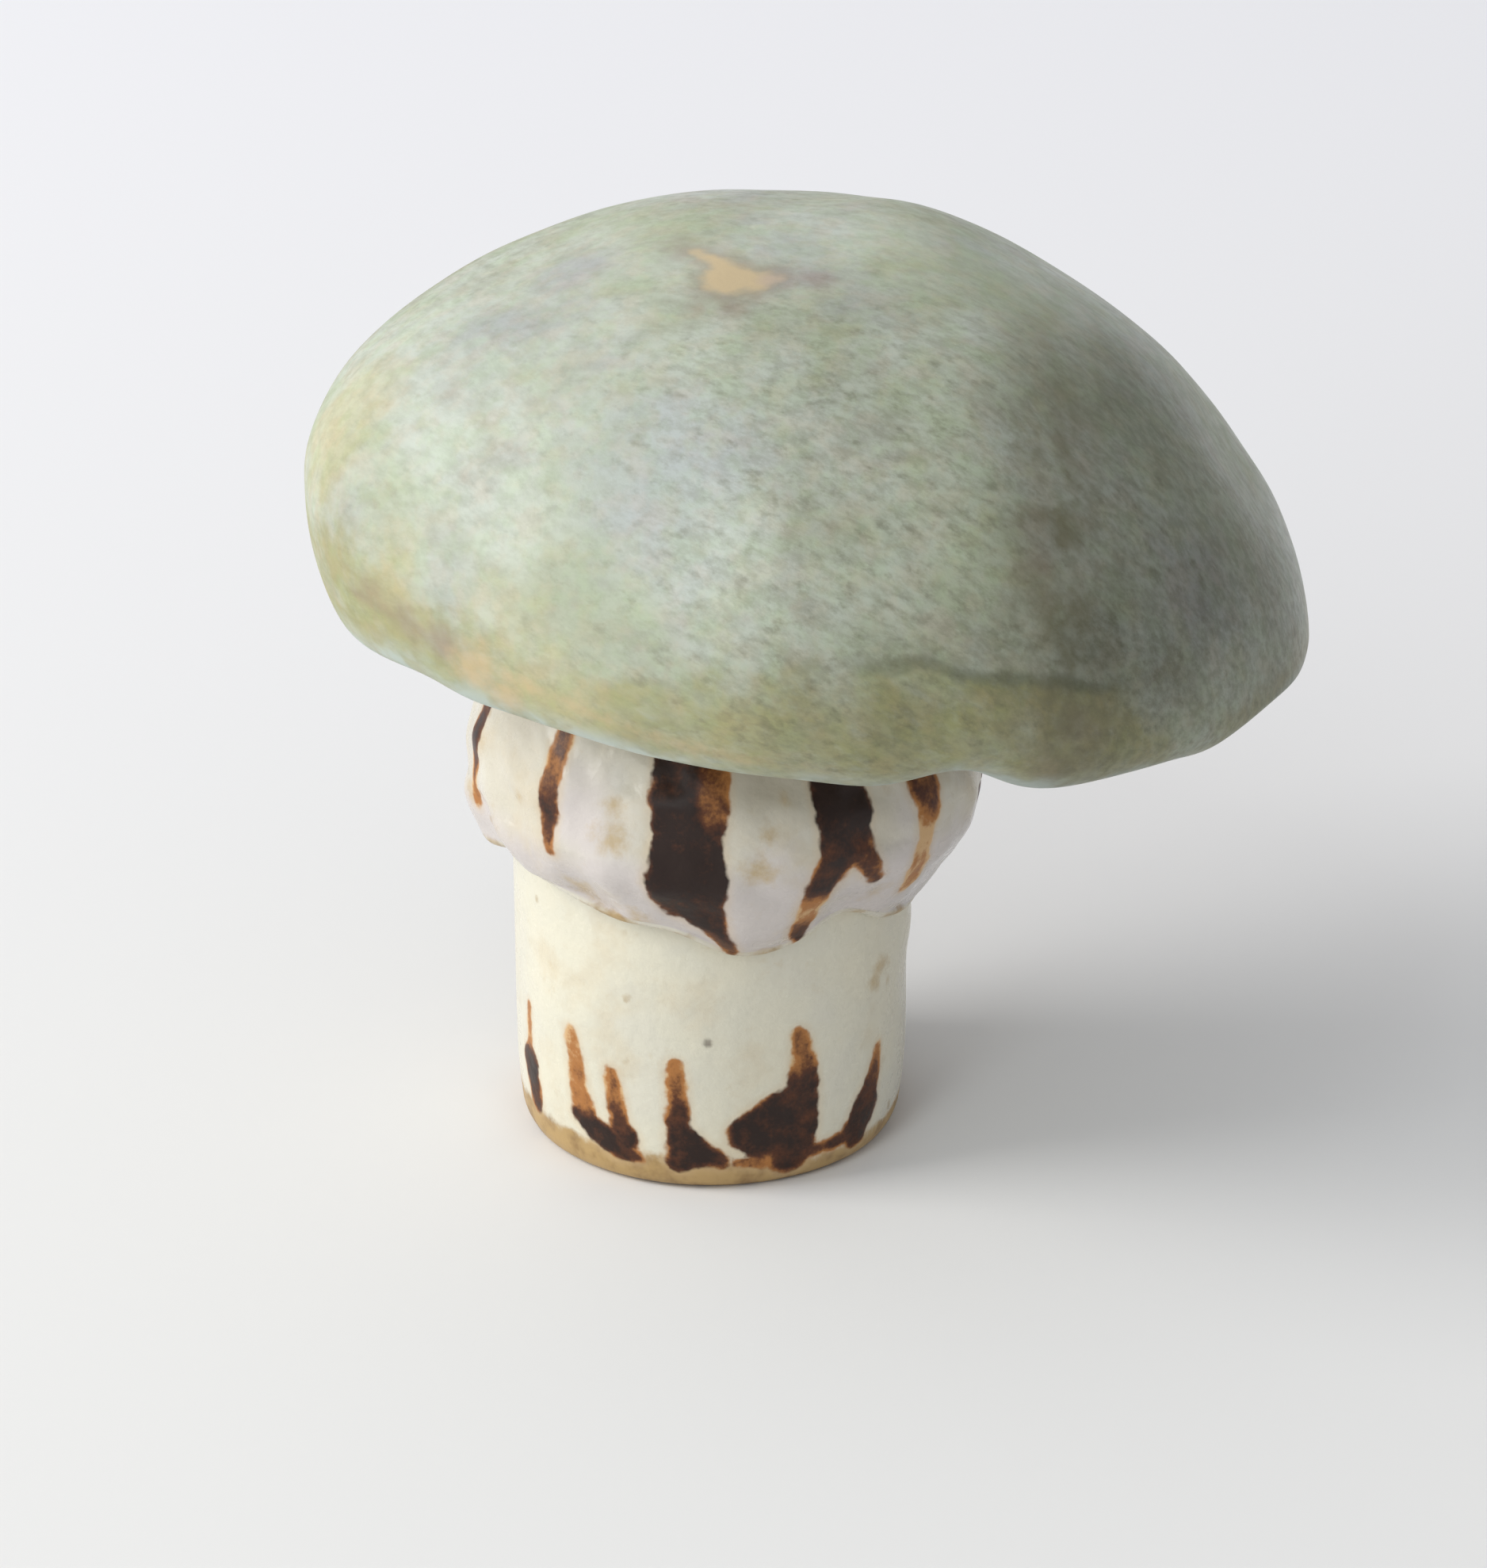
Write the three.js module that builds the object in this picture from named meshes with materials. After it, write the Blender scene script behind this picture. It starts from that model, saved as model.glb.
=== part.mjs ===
// Hand-built ceramic mushroom in the form of a death cap, fired and glazed, in millimetres, +Z up.
// Three clay pieces fused in the kiln: a hollow cap like an upturned bowl, a tubular stem that stands
// on its open foot, and a skirt, the ring of clay draped round the top of the stem.
// The surface it stands on is z = 0. Azimuths are in degrees, anticlockwise seen from above:
// 0 is the long right side of the cap (+X) and -90 is the front (-Y).
import * as THREE from "three";

// The stem's axis, measured from the middle of the cap's outline, which is the part's origin.
const STEM_AXIS = { x: -8.54, y: 0.11 };

const CAP = {
  crownHeight: 83.7, // the highest clay before the thumb swellings
  crownX: 4.0, // the crown and the widest ring are off the stem's axis by these
  middleX: 8.4,
  reach: 41.0, // radius of the widest ring, before the swellings round it
  brimHeight: 55.5, // height of the widest ring on the stem's axis
  brimTilt: 7.2, // it hangs this much lower on the right and higher on the left
  drop: 6.5, // from the widest ring down to the lip
  dropTilt: -3.2, // shallower on the right
  tuck: 4.3, // how far the lip turns in under the widest ring
  tuckTilt: 1.4,
  fullness: 1.0, // 1 is round, less is squarer, across and up
  fullnessTilt: -0.13,
  rise: 1.11,
  wall: 4.6,
  lipInset: 2.3, // the lip's inner half-round
  lipRise: 2.2,
};
// Swellings round the widest ring: azimuth, half-width and reach.
const REACH_SWELLINGS = [
  { at: 0, width: 45, by: 2.6 },
  { at: 180, width: 45, by: 2.6 },
  { at: -50, width: 30, by: 2.2 },
  { at: -22, width: 14, by: 0.3 },
  { at: -95, width: 25, by: -1.7 },
  { at: -135, width: 35, by: -1.4 },
  { at: -160, width: 14, by: 0.9 },
  { at: 50, width: 35, by: -2.8 },
  { at: 130, width: 35, by: -2.0 },
];
// Where the lip is pushed up or hangs down: azimuth, half-width and rise.
const LIP_WAVES = [
  { at: -71, width: 7, by: 2.9 },
  { at: -105, width: 20, by: -0.9 },
  { at: -135, width: 18, by: -0.7 },
  { at: -160, width: 16, by: -1.3 },
  { at: -22, width: 14, by: 0.9 },
];
// Soft swellings that the potter's thumbs left on the crown: place, half-width and height.
const CROWN_SWELLINGS = [
  { x: 18, y: 6, width: 11, by: 1.4 },
  { x: -8, y: 10, width: 12, by: 1.1 },
];

const STEM = {
  radius: 17.5,
  footRadius: 16.5,
  footShift: 0.1, // the foot is set this far to the right of the axis
  footRound: 3.2, // height over which the foot's edge turns in
  footFlat: 15.6, // outer radius of the flat ring it stands on
  bore: 13.0,
  boreChamfer: 0.8,
  seat: 1.0, // the stem is pared back this much where the skirt is laid on
  joint: 0.3, // clearance to the neighbouring clay pieces
};

// The skirt's outline at stations round the stem: azimuth, height of its lower edge,
// radius at that edge, and radius where it swells most.
const SKIRT_STATIONS = [
  { at: -180, edge: 28.6, edgeRadius: 19.8, swell: 21.2 },
  { at: -167, edge: 28.0, edgeRadius: 19.9, swell: 21.5 },
  { at: -152, edge: 29.1, edgeRadius: 19.5, swell: 21.4 },
  { at: -132, edge: 28.2, edgeRadius: 19.3, swell: 22.0 },
  { at: -115, edge: 26.8, edgeRadius: 19.2, swell: 22.4 },
  { at: -100, edge: 26.4, edgeRadius: 19.2, swell: 22.8 },
  { at: -83, edge: 23.9, edgeRadius: 18.8, swell: 23.0 },
  { at: -68, edge: 24.2, edgeRadius: 18.5, swell: 23.2 },
  { at: -52, edge: 26.0, edgeRadius: 18.2, swell: 23.5 },
  { at: -34, edge: 23.4, edgeRadius: 17.9, swell: 23.9 },
  { at: -12, edge: 21.6, edgeRadius: 17.8, swell: 24.2 },
  { at: 12, edge: 21.4, edgeRadius: 18.0, swell: 24.1 },
  { at: 42, edge: 24.2, edgeRadius: 18.7, swell: 23.6 },
  { at: 70, edge: 26.2, edgeRadius: 19.3, swell: 22.8 },
  { at: 98, edge: 23.8, edgeRadius: 19.3, swell: 22.4 },
  { at: 128, edge: 27.4, edgeRadius: 19.7, swell: 22.0 },
  { at: 154, edge: 25.6, edgeRadius: 20.1, swell: 21.9 },
];
const SKIRT = {
  swellHeight: 34.0,
  top: 46.0, // where the clay is smeared out on the stem, hidden by the cap from most sides
  topThickness: 0.8,
  lip: 0.7, // half the thickness of the lower edge
  overhang: 3.6, // height of the hollow behind a lower edge that stands off the stem
  foldDepth: 0.45, // soft upright folds, deepest on the left
  foldCount: 15,
};

const RAD = Math.PI / 180;

// Signed difference of two azimuths in degrees, from -180 to 180.
function turn(a, b) {
  return ((((a - b + 180) % 360) + 360) % 360) - 180;
}

function bell(distance, width) {
  return Math.exp(-((distance / width) ** 2));
}

function swellings(list, azimuth) {
  return list.reduce((sum, s) => sum + s.by * bell(turn(azimuth, s.at), s.width), 0);
}

function smoothstep(x) {
  const t = Math.min(1, Math.max(0, x));
  return t * t * (3 - 2 * t);
}

// A station list's value at an azimuth, on a smooth closed curve through the stations.
function station(list, key, azimuth) {
  const n = list.length;
  const here = azimuth < list[0].at ? azimuth + 360 : azimuth;
  let i = n - 1;
  for (let k = 0; k < n - 1; k++) {
    if (here >= list[k].at && here < list[k + 1].at) i = k;
  }
  const at = (k) => list[((k % n) + n) % n];
  const span = ((at(i + 1).at - at(i).at + 720) % 360);
  const t = (here - at(i).at) / span;
  const [p0, p1, p2, p3] = [-1, 0, 1, 2].map((k) => at(i + k)[key]);
  return p1 + 0.5 * t * (p2 - p0 + t * (2 * p0 - 5 * p1 + 4 * p2 - p3 + t * (3 * (p1 - p2) + p3 - p0)));
}

// The cap's driving values at one azimuth.
function capAt(azimuth) {
  const c = Math.cos(azimuth * RAD);
  const brim = CAP.brimHeight - CAP.brimTilt * c;
  return {
    reach: CAP.reach + swellings(REACH_SWELLINGS, azimuth),
    brim,
    lip: brim - CAP.drop - CAP.dropTilt * c + swellings(LIP_WAVES, azimuth),
    tuck: CAP.tuck + CAP.tuckTilt * c,
    fullness: CAP.fullness + CAP.fullnessTilt * c,
  };
}

// A point of the dome. Polar goes from 0 at the crown to 90 at the widest ring, and inset is the
// distance in from the outer face: radius = reach * sin(polar) ^ fullness, and the height runs from
// the widest ring to the crown with cos(polar) ^ rise.
function domePoint(polar, azimuth, inset) {
  const a = capAt(azimuth);
  const s = Math.sin(polar * RAD);
  const c = Math.max(0, Math.cos(polar * RAD));
  const radius = (a.reach - inset) * s ** a.fullness;
  const middle = CAP.middleX + (CAP.crownX - CAP.middleX) * c * c;
  const x = middle + radius * Math.cos(azimuth * RAD);
  const y = radius * Math.sin(azimuth * RAD);
  let z = a.brim + (CAP.crownHeight - inset - a.brim) * c ** CAP.rise;
  for (const b of CROWN_SWELLINGS) {
    z += b.by * bell(Math.hypot(x - b.x, y - b.y), b.width) * Math.min(1, 2 * c);
  }
  return [x, y, z];
}

// A point at a radius and height, round the middle of the widest ring.
function brimPoint(radius, azimuth, z) {
  return [CAP.middleX + radius * Math.cos(azimuth * RAD), radius * Math.sin(azimuth * RAD), z];
}

// The height of the cap's inner face over a point of the plan.
function ceiling(x, y) {
  let polar = 45;
  let azimuth = 0;
  for (let k = 0; k < 30; k++) {
    const c = Math.cos(polar * RAD);
    const middle = CAP.middleX + (CAP.crownX - CAP.middleX) * c * c;
    azimuth = Math.atan2(y, x - middle) / RAD;
    const a = capAt(azimuth);
    const share = Math.min(1, Math.hypot(x - middle, y) / (a.reach - CAP.wall));
    polar = Math.asin(share ** (1 / a.fullness)) / RAD;
  }
  return domePoint(polar, azimuth, CAP.wall)[2];
}

const steps = (from, to, count) =>
  Array.from({ length: count + 1 }, (_, k) => from + ((to - from) * k) / count);

// A closed skin over rings of points. With poles, the first and last rings are single points;
// without, the last ring joins the first, as on a tube's wall.
function skin(rings, poles) {
  const columns = Math.max(...rings.map((r) => r.length));
  const positions = [];
  const start = rings.map((ring) => {
    const first = positions.length / 3;
    ring.forEach((p) => positions.push(...p));
    return first;
  });
  const at = (i, j) => start[i] + (rings[i].length === 1 ? 0 : j % columns);
  const faces = [];
  const bands = poles ? rings.length - 1 : rings.length;
  for (let i = 0; i < bands; i++) {
    const k = (i + 1) % rings.length;
    for (let j = 0; j < columns; j++) {
      if (rings[i].length > 1) faces.push(at(i, j), at(k, j), at(i, j + 1));
      if (rings[k].length > 1) faces.push(at(i, j + 1), at(k, j), at(k, j + 1));
    }
  }
  const geometry = new THREE.BufferGeometry();
  geometry.setAttribute("position", new THREE.Float32BufferAttribute(positions, 3));
  geometry.setIndex(faces);
  geometry.computeVertexNormals();
  return geometry;
}

function ring(columns, point) {
  return Array.from({ length: columns }, (_, j) => point(-180 + (360 * j) / columns));
}

// The cap: outer dome, the edge that tucks under, the half-round lip, then the inner face back up.
function capGeometry() {
  const columns = 72;
  const rings = [[domePoint(0, 0, 0)]];
  for (const polar of steps(7, 90, 12)) {
    rings.push(ring(columns, (az) => domePoint(polar, az, 0)));
  }
  for (const s of steps(20, 90, 4)) {
    rings.push(
      ring(columns, (az) => {
        const a = capAt(az);
        const radius = a.reach - a.tuck * (1 - Math.cos(s * RAD));
        return brimPoint(radius, az, a.brim - (a.brim - a.lip) * Math.sin(s * RAD));
      }),
    );
  }
  for (const s of steps(30, 90, 2)) {
    rings.push(
      ring(columns, (az) => {
        const a = capAt(az);
        const radius = a.reach - a.tuck - CAP.lipInset * Math.sin(s * RAD);
        return brimPoint(radius, az, a.lip + CAP.lipRise * (1 - Math.cos(s * RAD)));
      }),
    );
  }
  for (const s of [55, 25]) {
    rings.push(
      ring(columns, (az) => {
        const a = capAt(az);
        const inward = a.tuck + CAP.lipInset - CAP.wall;
        const radius = a.reach - CAP.wall - inward * (1 - Math.cos(s * RAD));
        return brimPoint(radius, az, a.brim - (a.brim - a.lip - CAP.lipRise) * Math.sin(s * RAD));
      }),
    );
  }
  for (const polar of steps(90, 10, 8)) {
    rings.push(ring(columns, (az) => domePoint(polar, az, CAP.wall)));
  }
  rings.push([domePoint(0, 0, CAP.wall)]);
  return skin(rings, true);
}

// The stem's outer radius at a height: it turns in at the foot and is pared back behind the skirt.
function stemRadius(azimuth, z) {
  const foot = (STEM.radius - STEM.footRadius) * Math.exp(-z / STEM.footRound);
  const behind = smoothstep((z - station(SKIRT_STATIONS, "edge", azimuth) - 0.4) / 1.4);
  return STEM.radius - foot - STEM.seat * behind;
}

function stemPoint(radius, azimuth, z) {
  const shift = STEM.footShift * Math.exp(-z / 6);
  return [shift + radius * Math.cos(azimuth * RAD), radius * Math.sin(azimuth * RAD), z];
}

// The height of the stem's cut top at a radius, just under the inside of the cap.
function stemTop(radius, azimuth) {
  const [x, y] = stemPoint(radius, azimuth, CAP.brimHeight);
  return ceiling(x, y) - STEM.joint;
}

// The stem: a tube with its wall as one closed loop, from the foot up, over the top and down the bore.
function stemGeometry() {
  const columns = 60;
  const rings = [ring(columns, (az) => stemPoint(STEM.footFlat, az, 0))];
  for (const z of [0.35, 1.1, 2.4, 5, 9, 14, 19]) {
    rings.push(ring(columns, (az) => stemPoint(stemRadius(az, z), az, z)));
  }
  for (const up of [0.4, 1.1, 1.8]) {
    rings.push(
      ring(columns, (az) => {
        const z = station(SKIRT_STATIONS, "edge", az) + up;
        return stemPoint(stemRadius(az, z), az, z);
      }),
    );
  }
  for (const z of [34, 42, 50]) {
    rings.push(ring(columns, (az) => stemPoint(stemRadius(az, z), az, z)));
  }
  rings.push(
    ring(columns, (az) => {
      const radius = STEM.radius - STEM.seat;
      return stemPoint(radius, az, stemTop(radius, az) - 0.2);
    }),
  );
  rings.push(ring(columns, (az) => stemPoint(STEM.bore, az, stemTop(STEM.bore, az) - 0.2)));
  for (const z of [50, 34, 18, STEM.boreChamfer]) {
    rings.push(ring(columns, (az) => stemPoint(STEM.bore, az, z)));
  }
  rings.push(ring(columns, (az) => stemPoint(STEM.bore + STEM.boreChamfer, az, 0)));
  return skin(rings.reverse(), false);
}

// The skirt's outer radius at a height. From the lower edge it swells out by a quarter sine, then
// draws in to the stem by a square curve. The folds fade out towards the edge and the top.
function skirtRadius(azimuth, z) {
  const edge = station(SKIRT_STATIONS, "edge", azimuth);
  const edgeRadius = station(SKIRT_STATIONS, "edgeRadius", azimuth);
  const swell = station(SKIRT_STATIONS, "swell", azimuth);
  const share = Math.min(1, Math.max(0, (z - edge) / (SKIRT.swellHeight - edge)));
  const out = Math.sin(share * 90 * RAD);
  const back = Math.max(0, (z - SKIRT.swellHeight) / (SKIRT.top - SKIRT.swellHeight)) ** 2;
  const topRadius = skirtBore(azimuth, SKIRT.top) + SKIRT.topThickness;
  const onLeft = 0.35 + 0.65 * bell(turn(azimuth, 180), 60);
  const fold = SKIRT.foldDepth * onLeft * Math.cos(SKIRT.foldCount * azimuth * RAD) * out * (1 - back);
  return edgeRadius + (swell - edgeRadius) * out - (swell - topRadius) * back + fold;
}

// The skirt's inner face, a joint's width off the pared stem.
function skirtBore(azimuth, z) {
  const edge = station(SKIRT_STATIONS, "edge", azimuth);
  return stemRadius(azimuth, Math.max(z, edge)) + STEM.joint;
}

function skirtPoint(radius, azimuth, z) {
  return [radius * Math.cos(azimuth * RAD), radius * Math.sin(azimuth * RAD), z];
}

// The skirt: a ring whose wall is one closed loop, up the outside, over the top and down the stem.
function skirtGeometry() {
  const columns = 96;
  const edgeOf = (az) => station(SKIRT_STATIONS, "edge", az);
  const rings = [];
  for (const share of [0, 0.06, 0.15, 0.26, 0.38, 0.5, 0.62, 0.74, 0.87, 1]) {
    rings.push(
      ring(columns, (az) => {
        const z = edgeOf(az) + SKIRT.lip * 0.6 + (SKIRT.top - edgeOf(az) - SKIRT.lip * 0.6) * share;
        return skirtPoint(skirtRadius(az, z), az, z);
      }),
    );
  }
  for (const z of [SKIRT.top, 40]) {
    rings.push(ring(columns, (az) => skirtPoint(skirtBore(az, z), az, z)));
  }
  // The hollow behind the edge narrows upwards until the clay meets the stem.
  for (const up of [SKIRT.overhang, SKIRT.overhang * 0.5, SKIRT.lip * 0.6]) {
    rings.push(
      ring(columns, (az) => {
        const z = edgeOf(az) + up;
        const open = 1 - up / SKIRT.overhang;
        const edge = skirtRadius(az, edgeOf(az)) - 2 * SKIRT.lip;
        const bore = skirtBore(az, z);
        return skirtPoint(bore + Math.max(0, edge - bore) * open, az, z);
      }),
    );
  }
  rings.push(
    ring(columns, (az) => {
      const outer = skirtRadius(az, edgeOf(az));
      const inner = Math.max(skirtBore(az, edgeOf(az) + SKIRT.lip * 0.6), outer - 2 * SKIRT.lip);
      return skirtPoint((inner + outer) / 2, az, edgeOf(az));
    }),
  );
  return skin(rings.reverse(), false);
}

function glazed(name, geometry, colour, roughness) {
  const material = new THREE.MeshStandardMaterial({ color: colour, roughness, metalness: 0 });
  const mesh = new THREE.Mesh(geometry, material);
  mesh.name = name;
  return mesh;
}

const mushroom = new THREE.Group();
mushroom.position.set(STEM_AXIS.x, STEM_AXIS.y, 0);
mushroom.add(glazed("cap", capGeometry(), 0x9aa892, 0.45));
mushroom.add(glazed("stem", stemGeometry(), 0xe4e2d2, 0.3));
mushroom.add(glazed("skirt", skirtGeometry(), 0xe2dcd2, 0.3));

const part = new THREE.Group();
part.add(mushroom);
export default part;
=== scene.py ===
import math
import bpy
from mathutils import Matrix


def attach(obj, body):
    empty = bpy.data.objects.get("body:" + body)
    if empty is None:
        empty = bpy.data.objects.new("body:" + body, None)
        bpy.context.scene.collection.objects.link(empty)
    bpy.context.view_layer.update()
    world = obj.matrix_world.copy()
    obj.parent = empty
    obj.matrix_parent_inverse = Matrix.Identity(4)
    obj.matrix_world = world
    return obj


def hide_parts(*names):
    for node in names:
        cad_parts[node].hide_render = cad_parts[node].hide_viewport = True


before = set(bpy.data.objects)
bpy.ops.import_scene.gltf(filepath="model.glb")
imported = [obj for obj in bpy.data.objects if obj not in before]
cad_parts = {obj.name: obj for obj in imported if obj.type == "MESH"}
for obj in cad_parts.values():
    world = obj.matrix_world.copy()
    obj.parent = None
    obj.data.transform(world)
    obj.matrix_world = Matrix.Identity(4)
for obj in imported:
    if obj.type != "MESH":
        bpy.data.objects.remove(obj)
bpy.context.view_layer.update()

from types import SimpleNamespace

import bpy
import numpy as np
from bpy.props import FloatProperty, FloatVectorProperty, PointerProperty
from mathutils import Vector

bl_info = {
    "name": "Glazed Ceramic Mushroom",
    "version": (1, 0, 0),
    "blender": (4, 5, 0),
    "location": "View3D > Sidebar > Mushroom",
    "description": "Hand-built, glazed ceramic mushroom: cap, skirt and stem, with its brushed stripes",
    "category": "Object",
}

MM = 0.001

# The stem's axis, measured from the middle of the cap's outline. Shapes below are worked out round
# this axis in millimetres, with azimuths in degrees: 0 is the long right side and -90 the front.
STEM_AXIS = (-8.54, 0.11)

# Swellings round the cap's widest ring: azimuth, half-width and reach.
REACH_SWELLINGS = (
    (0, 45, 2.6), (180, 45, 2.6), (-50, 30, 2.2), (-22, 14, 0.3), (-95, 25, -1.7), (-135, 35, -1.4),
    (-160, 14, 0.9), (50, 35, -2.8), (130, 35, -2.0),
)
# Where the lip is pushed up or hangs down: azimuth, half-width and rise.
LIP_WAVES = (
    (-71, 7, 2.9), (-105, 20, -0.9), (-135, 18, -0.7), (-160, 16, -1.3), (-17, 12, 1.6), (-25, 9, 1.0),
    (-38, 4, -0.5), (-148, 8, 0.6),
)
# Thumb swellings on the crown: x, y, half-width and height.
CROWN_SWELLINGS = ((18, 6, 11, 1.4), (-8, 10, 12, 1.1))
# The skirt round the stem: azimuth, height of the lower edge, radius there, radius at the swell.
SKIRT_STATIONS = (
    (-180, 28.6, 19.8, 21.2), (-167, 28.0, 19.9, 21.5), (-152, 29.1, 19.5, 21.4),
    (-132, 28.2, 19.3, 22.0), (-115, 26.8, 19.2, 22.4), (-100, 26.4, 19.2, 22.8),
    (-83, 23.9, 18.8, 23.0), (-68, 24.2, 18.5, 23.2), (-52, 26.0, 18.2, 23.5), (-34, 23.4, 17.9, 23.9),
    (-12, 21.6, 17.8, 24.2), (12, 21.4, 18.0, 24.1), (42, 24.2, 18.7, 23.6), (70, 26.2, 19.3, 22.8),
    (98, 23.8, 19.3, 22.4), (128, 27.4, 19.7, 22.0), (154, 25.6, 20.1, 21.9),
)
# Soft upright folds that the fingers left on the skirt: azimuth, half-width and depth.
SKIRT_FOLDS = (
    (-172, 5, 0.5), (-158, 6, -0.7), (-145, 7, 0.4), (-120, 9, -0.3), (-62, 10, -0.3), (-44, 8, 0.3),
    (-15, 10, -0.4), (25, 9, 0.4), (52, 8, -0.5), (84, 9, 0.4), (113, 8, -0.6), (141, 7, 0.5),
    (166, 6, -0.4),
)
# The cap is bent softly along a line down its front, and its crown has a low dent.
FOLD_X = 23.0
FOLD_HEIGHT = 0.7
CROWN_DENT = (3.0, -9.5)
# Below this height the foot turns in to the ring it stands on, and the bore ends in a chamfer.
FOOT_EDGE = 2.2
CHAMFER = 0.8
# The fillet of clay and glaze at the joint under the cap: how far out, and over what height.
FILLET_OUT = 2.6
FILLET_HEIGHT = 3.2
# The skirt's strokes are unrolled over this radius, and above this height they run on over the stem.
SKIRT_RADIUS = 21.5
STRIPES_RUN_ON = 40
# A depth that is far outside every stroke, band and patch.
FAR_OUT = -9.0

# Brushed stripes of skirt and foot: azimuth, height, half-width and thinness of the pigment along
# each stroke.
SKIRT_STRIPES = (
    ((-166.0, 50, 0.6, 0.8), (-165.0, 39.0, 1.3, 0.3), (-164.5, 35.5, 0.8, 0.7), (-164.5, 32.5, 0.6, 0.9)),
    ((-129.5, 50, 1.2, 0.85), (-129.5, 40.5, 1.15, 0.8), (-129.5, 37, 1.15, 0.3), (-128, 33.4, 0.5, 0.6)),
    (
        (-97.3, 50, 2.6, 0.1), (-97.4, 40, 2.5, 0.15), (-95.0, 37, 2.9, 0.1), (-95.2, 33, 3.4, 0.0),
        (-94.6, 31.2, 3.2, 0.05), (-92.0, 29.4, 2.1, 0.15), (-88.4, 27.4, 1.2, 0.4),
    ),
    ((-88.0, 27.2, 1.0, 0.4), (-84.3, 24.8, 0.7, 0.7)),
    ((-90.0, 50, 1.8, 0.7), (-90.0, 40, 1.8, 0.8), (-90.6, 37.4, 1.4, 0.55), (-92.0, 35.4, 0.8, 0.3)),
    (
        (-59.0, 50, 2.9, 0.0), (-59.4, 37.5, 2.7, 0.05), (-61, 34.5, 2.1, 0.3), (-65, 31.6, 1.5, 0.2),
        (-66.8, 28.8, 1.4, 1.45), (-67.4, 26.4, 1.4, 0.4), (-66.4, 25.2, 0.8, 0.3),
    ),
    ((-58.4, 36.4, 2.0, 0.2), (-55.8, 34.0, 1.4, 0.45), (-53.4, 32.4, 1.0, 0.6), (-50.8, 31.0, 0.6, 0.45)),
    (
        (-36, 50, 1.9, 0.6), (-36.4, 38.0, 1.9, 0.6), (-37.3, 35.5, 1.2, 0.8), (-39, 33.8, 0.8, 1.5),
        (-39.4, 31.4, 1.3, 1.2), (-38.0, 28.8, 1.3, 1.1),
    ),
    ((-8, 50, 1.9, 0.1), (-7, 36, 1.6, 0.2), (-5, 31, 0.9, 0.4), (-3, 27, 0.4, 0.9)),
    ((18, 50, 1.0, 0.7), (19, 37, 0.9, 0.6), (21, 32, 0.4, 0.9)),
    ((46, 50, 2.4, 0.1), (45, 37, 2.3, 0.05), (42, 32, 1.3, 0.25), (39, 28.5, 0.5, 0.8)),
    ((71, 50, 1.1, 0.7), (72, 36, 0.9, 0.5), (73, 31, 0.4, 0.9)),
    ((98, 50, 2.6, 0.05), (99, 36, 2.4, 0.1), (103, 31, 1.6, 0.2), (105, 27, 0.6, 0.7)),
    ((127, 50, 1.2, 0.5), (128, 37, 1.0, 0.5), (130, 33, 0.4, 0.9)),
    ((156, 50, 1.9, 0.15), (155, 37, 1.7, 0.2), (152, 31, 0.6, 0.7)),
)
FOOT_STRIPES = (
    ((-156, 13.2, 0.6, 1.0), (-156.5, 9.4, 0.65, 0.9), (-156.5, 7.8, 1.7, 0.15), (-154, 4.4, 1.4, 0.2)),
    ((-133.6, 13.6, 0.75, 1.1), (-132.4, 11, 0.95, 1.0), (-131, 7.4, 1.3, 0.9), (-129, 6.0, 1.2, 0.5)),
    ((-132.5, 5.6, 0.9, 0.1), (-126, 4.6, 1.4, 0.0), (-118, 3.5, 1.4, 0.05), (-112, 3.0, 0.7, 0.3)),
    ((-119.8, 10.8, 0.75, 0.7), (-118.6, 8.6, 0.95, 0.65), (-117.4, 5.8, 1.1, 0.2), (-115, 4.4, 1.3, 0.05)),
    ((-100.3, 12.4, 0.85, 0.9), (-99.8, 10.8, 1.05, 0.65), (-99.2, 7.0, 1.1, 0.15), (-98.5, 3.4, 1.5, 0.1)),
    ((-98.5, 5.4, 1.5, 0.05), (-94, 4.0, 1.5, 0.0), (-87, 3.2, 0.9, 0.15)),
    (
        (-63.3, 14.6, 0.85, 0.75), (-62, 12.2, 1.25, 0.6), (-62.5, 9.4, 1.8, 0.3), (-65, 6.0, 2.6, 0.1),
        (-66, 3.6, 2.6, 0.15),
    ),
    ((-66, 9.0, 1.2, 0.15), (-73, 7.0, 2.0, 0.05), (-80.0, 5.8, 1.7, 0.0), (-76, 4.6, 1.6, 0.1)),
    ((-33, 10.6, 0.5, 0.85), (-35, 8.0, 1.1, 0.5), (-38.5, 5.4, 1.8, 0.15), (-42, 3.4, 1.9, 0.1)),
    ((-82, 2.9, 0.5, 0.8), (-66, 2.6, 0.9, 0.45), (-52, 2.9, 0.8, 0.5), (-40, 3.0, 1.0, 0.3)),
    ((12, 11.5, 0.6, 0.9), (12, 7.6, 1.0, 0.4), (11, 3.9, 1.5, 0.1)),
    ((33, 14.5, 0.7, 0.85), (34, 10.0, 1.3, 0.3), (38, 5.5, 2.3, 0.05), (42, 4.4, 1.8, 0.1)),
    ((61, 10.5, 0.6, 0.9), (62, 6.5, 0.9, 0.5), (60, 4.2, 1.3, 0.1)),
    ((88, 13.0, 0.6, 0.8), (87, 8.5, 1.0, 0.3), (83, 5.0, 1.7, 0.05), (78, 4.2, 1.1, 0.1)),
    ((112, 11.0, 0.6, 0.95), (113, 7.0, 1.0, 0.6), (115, 4.4, 1.3, 0.15)),
    ((139, 14.0, 0.6, 0.8), (138, 9.5, 1.2, 0.3), (134, 5.4, 1.9, 0.05), (130, 4.2, 1.2, 0.1)),
    ((164, 10.0, 0.5, 0.9), (165, 6.5, 0.9, 0.4), (167, 4.4, 1.1, 0.1)),
)
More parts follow.
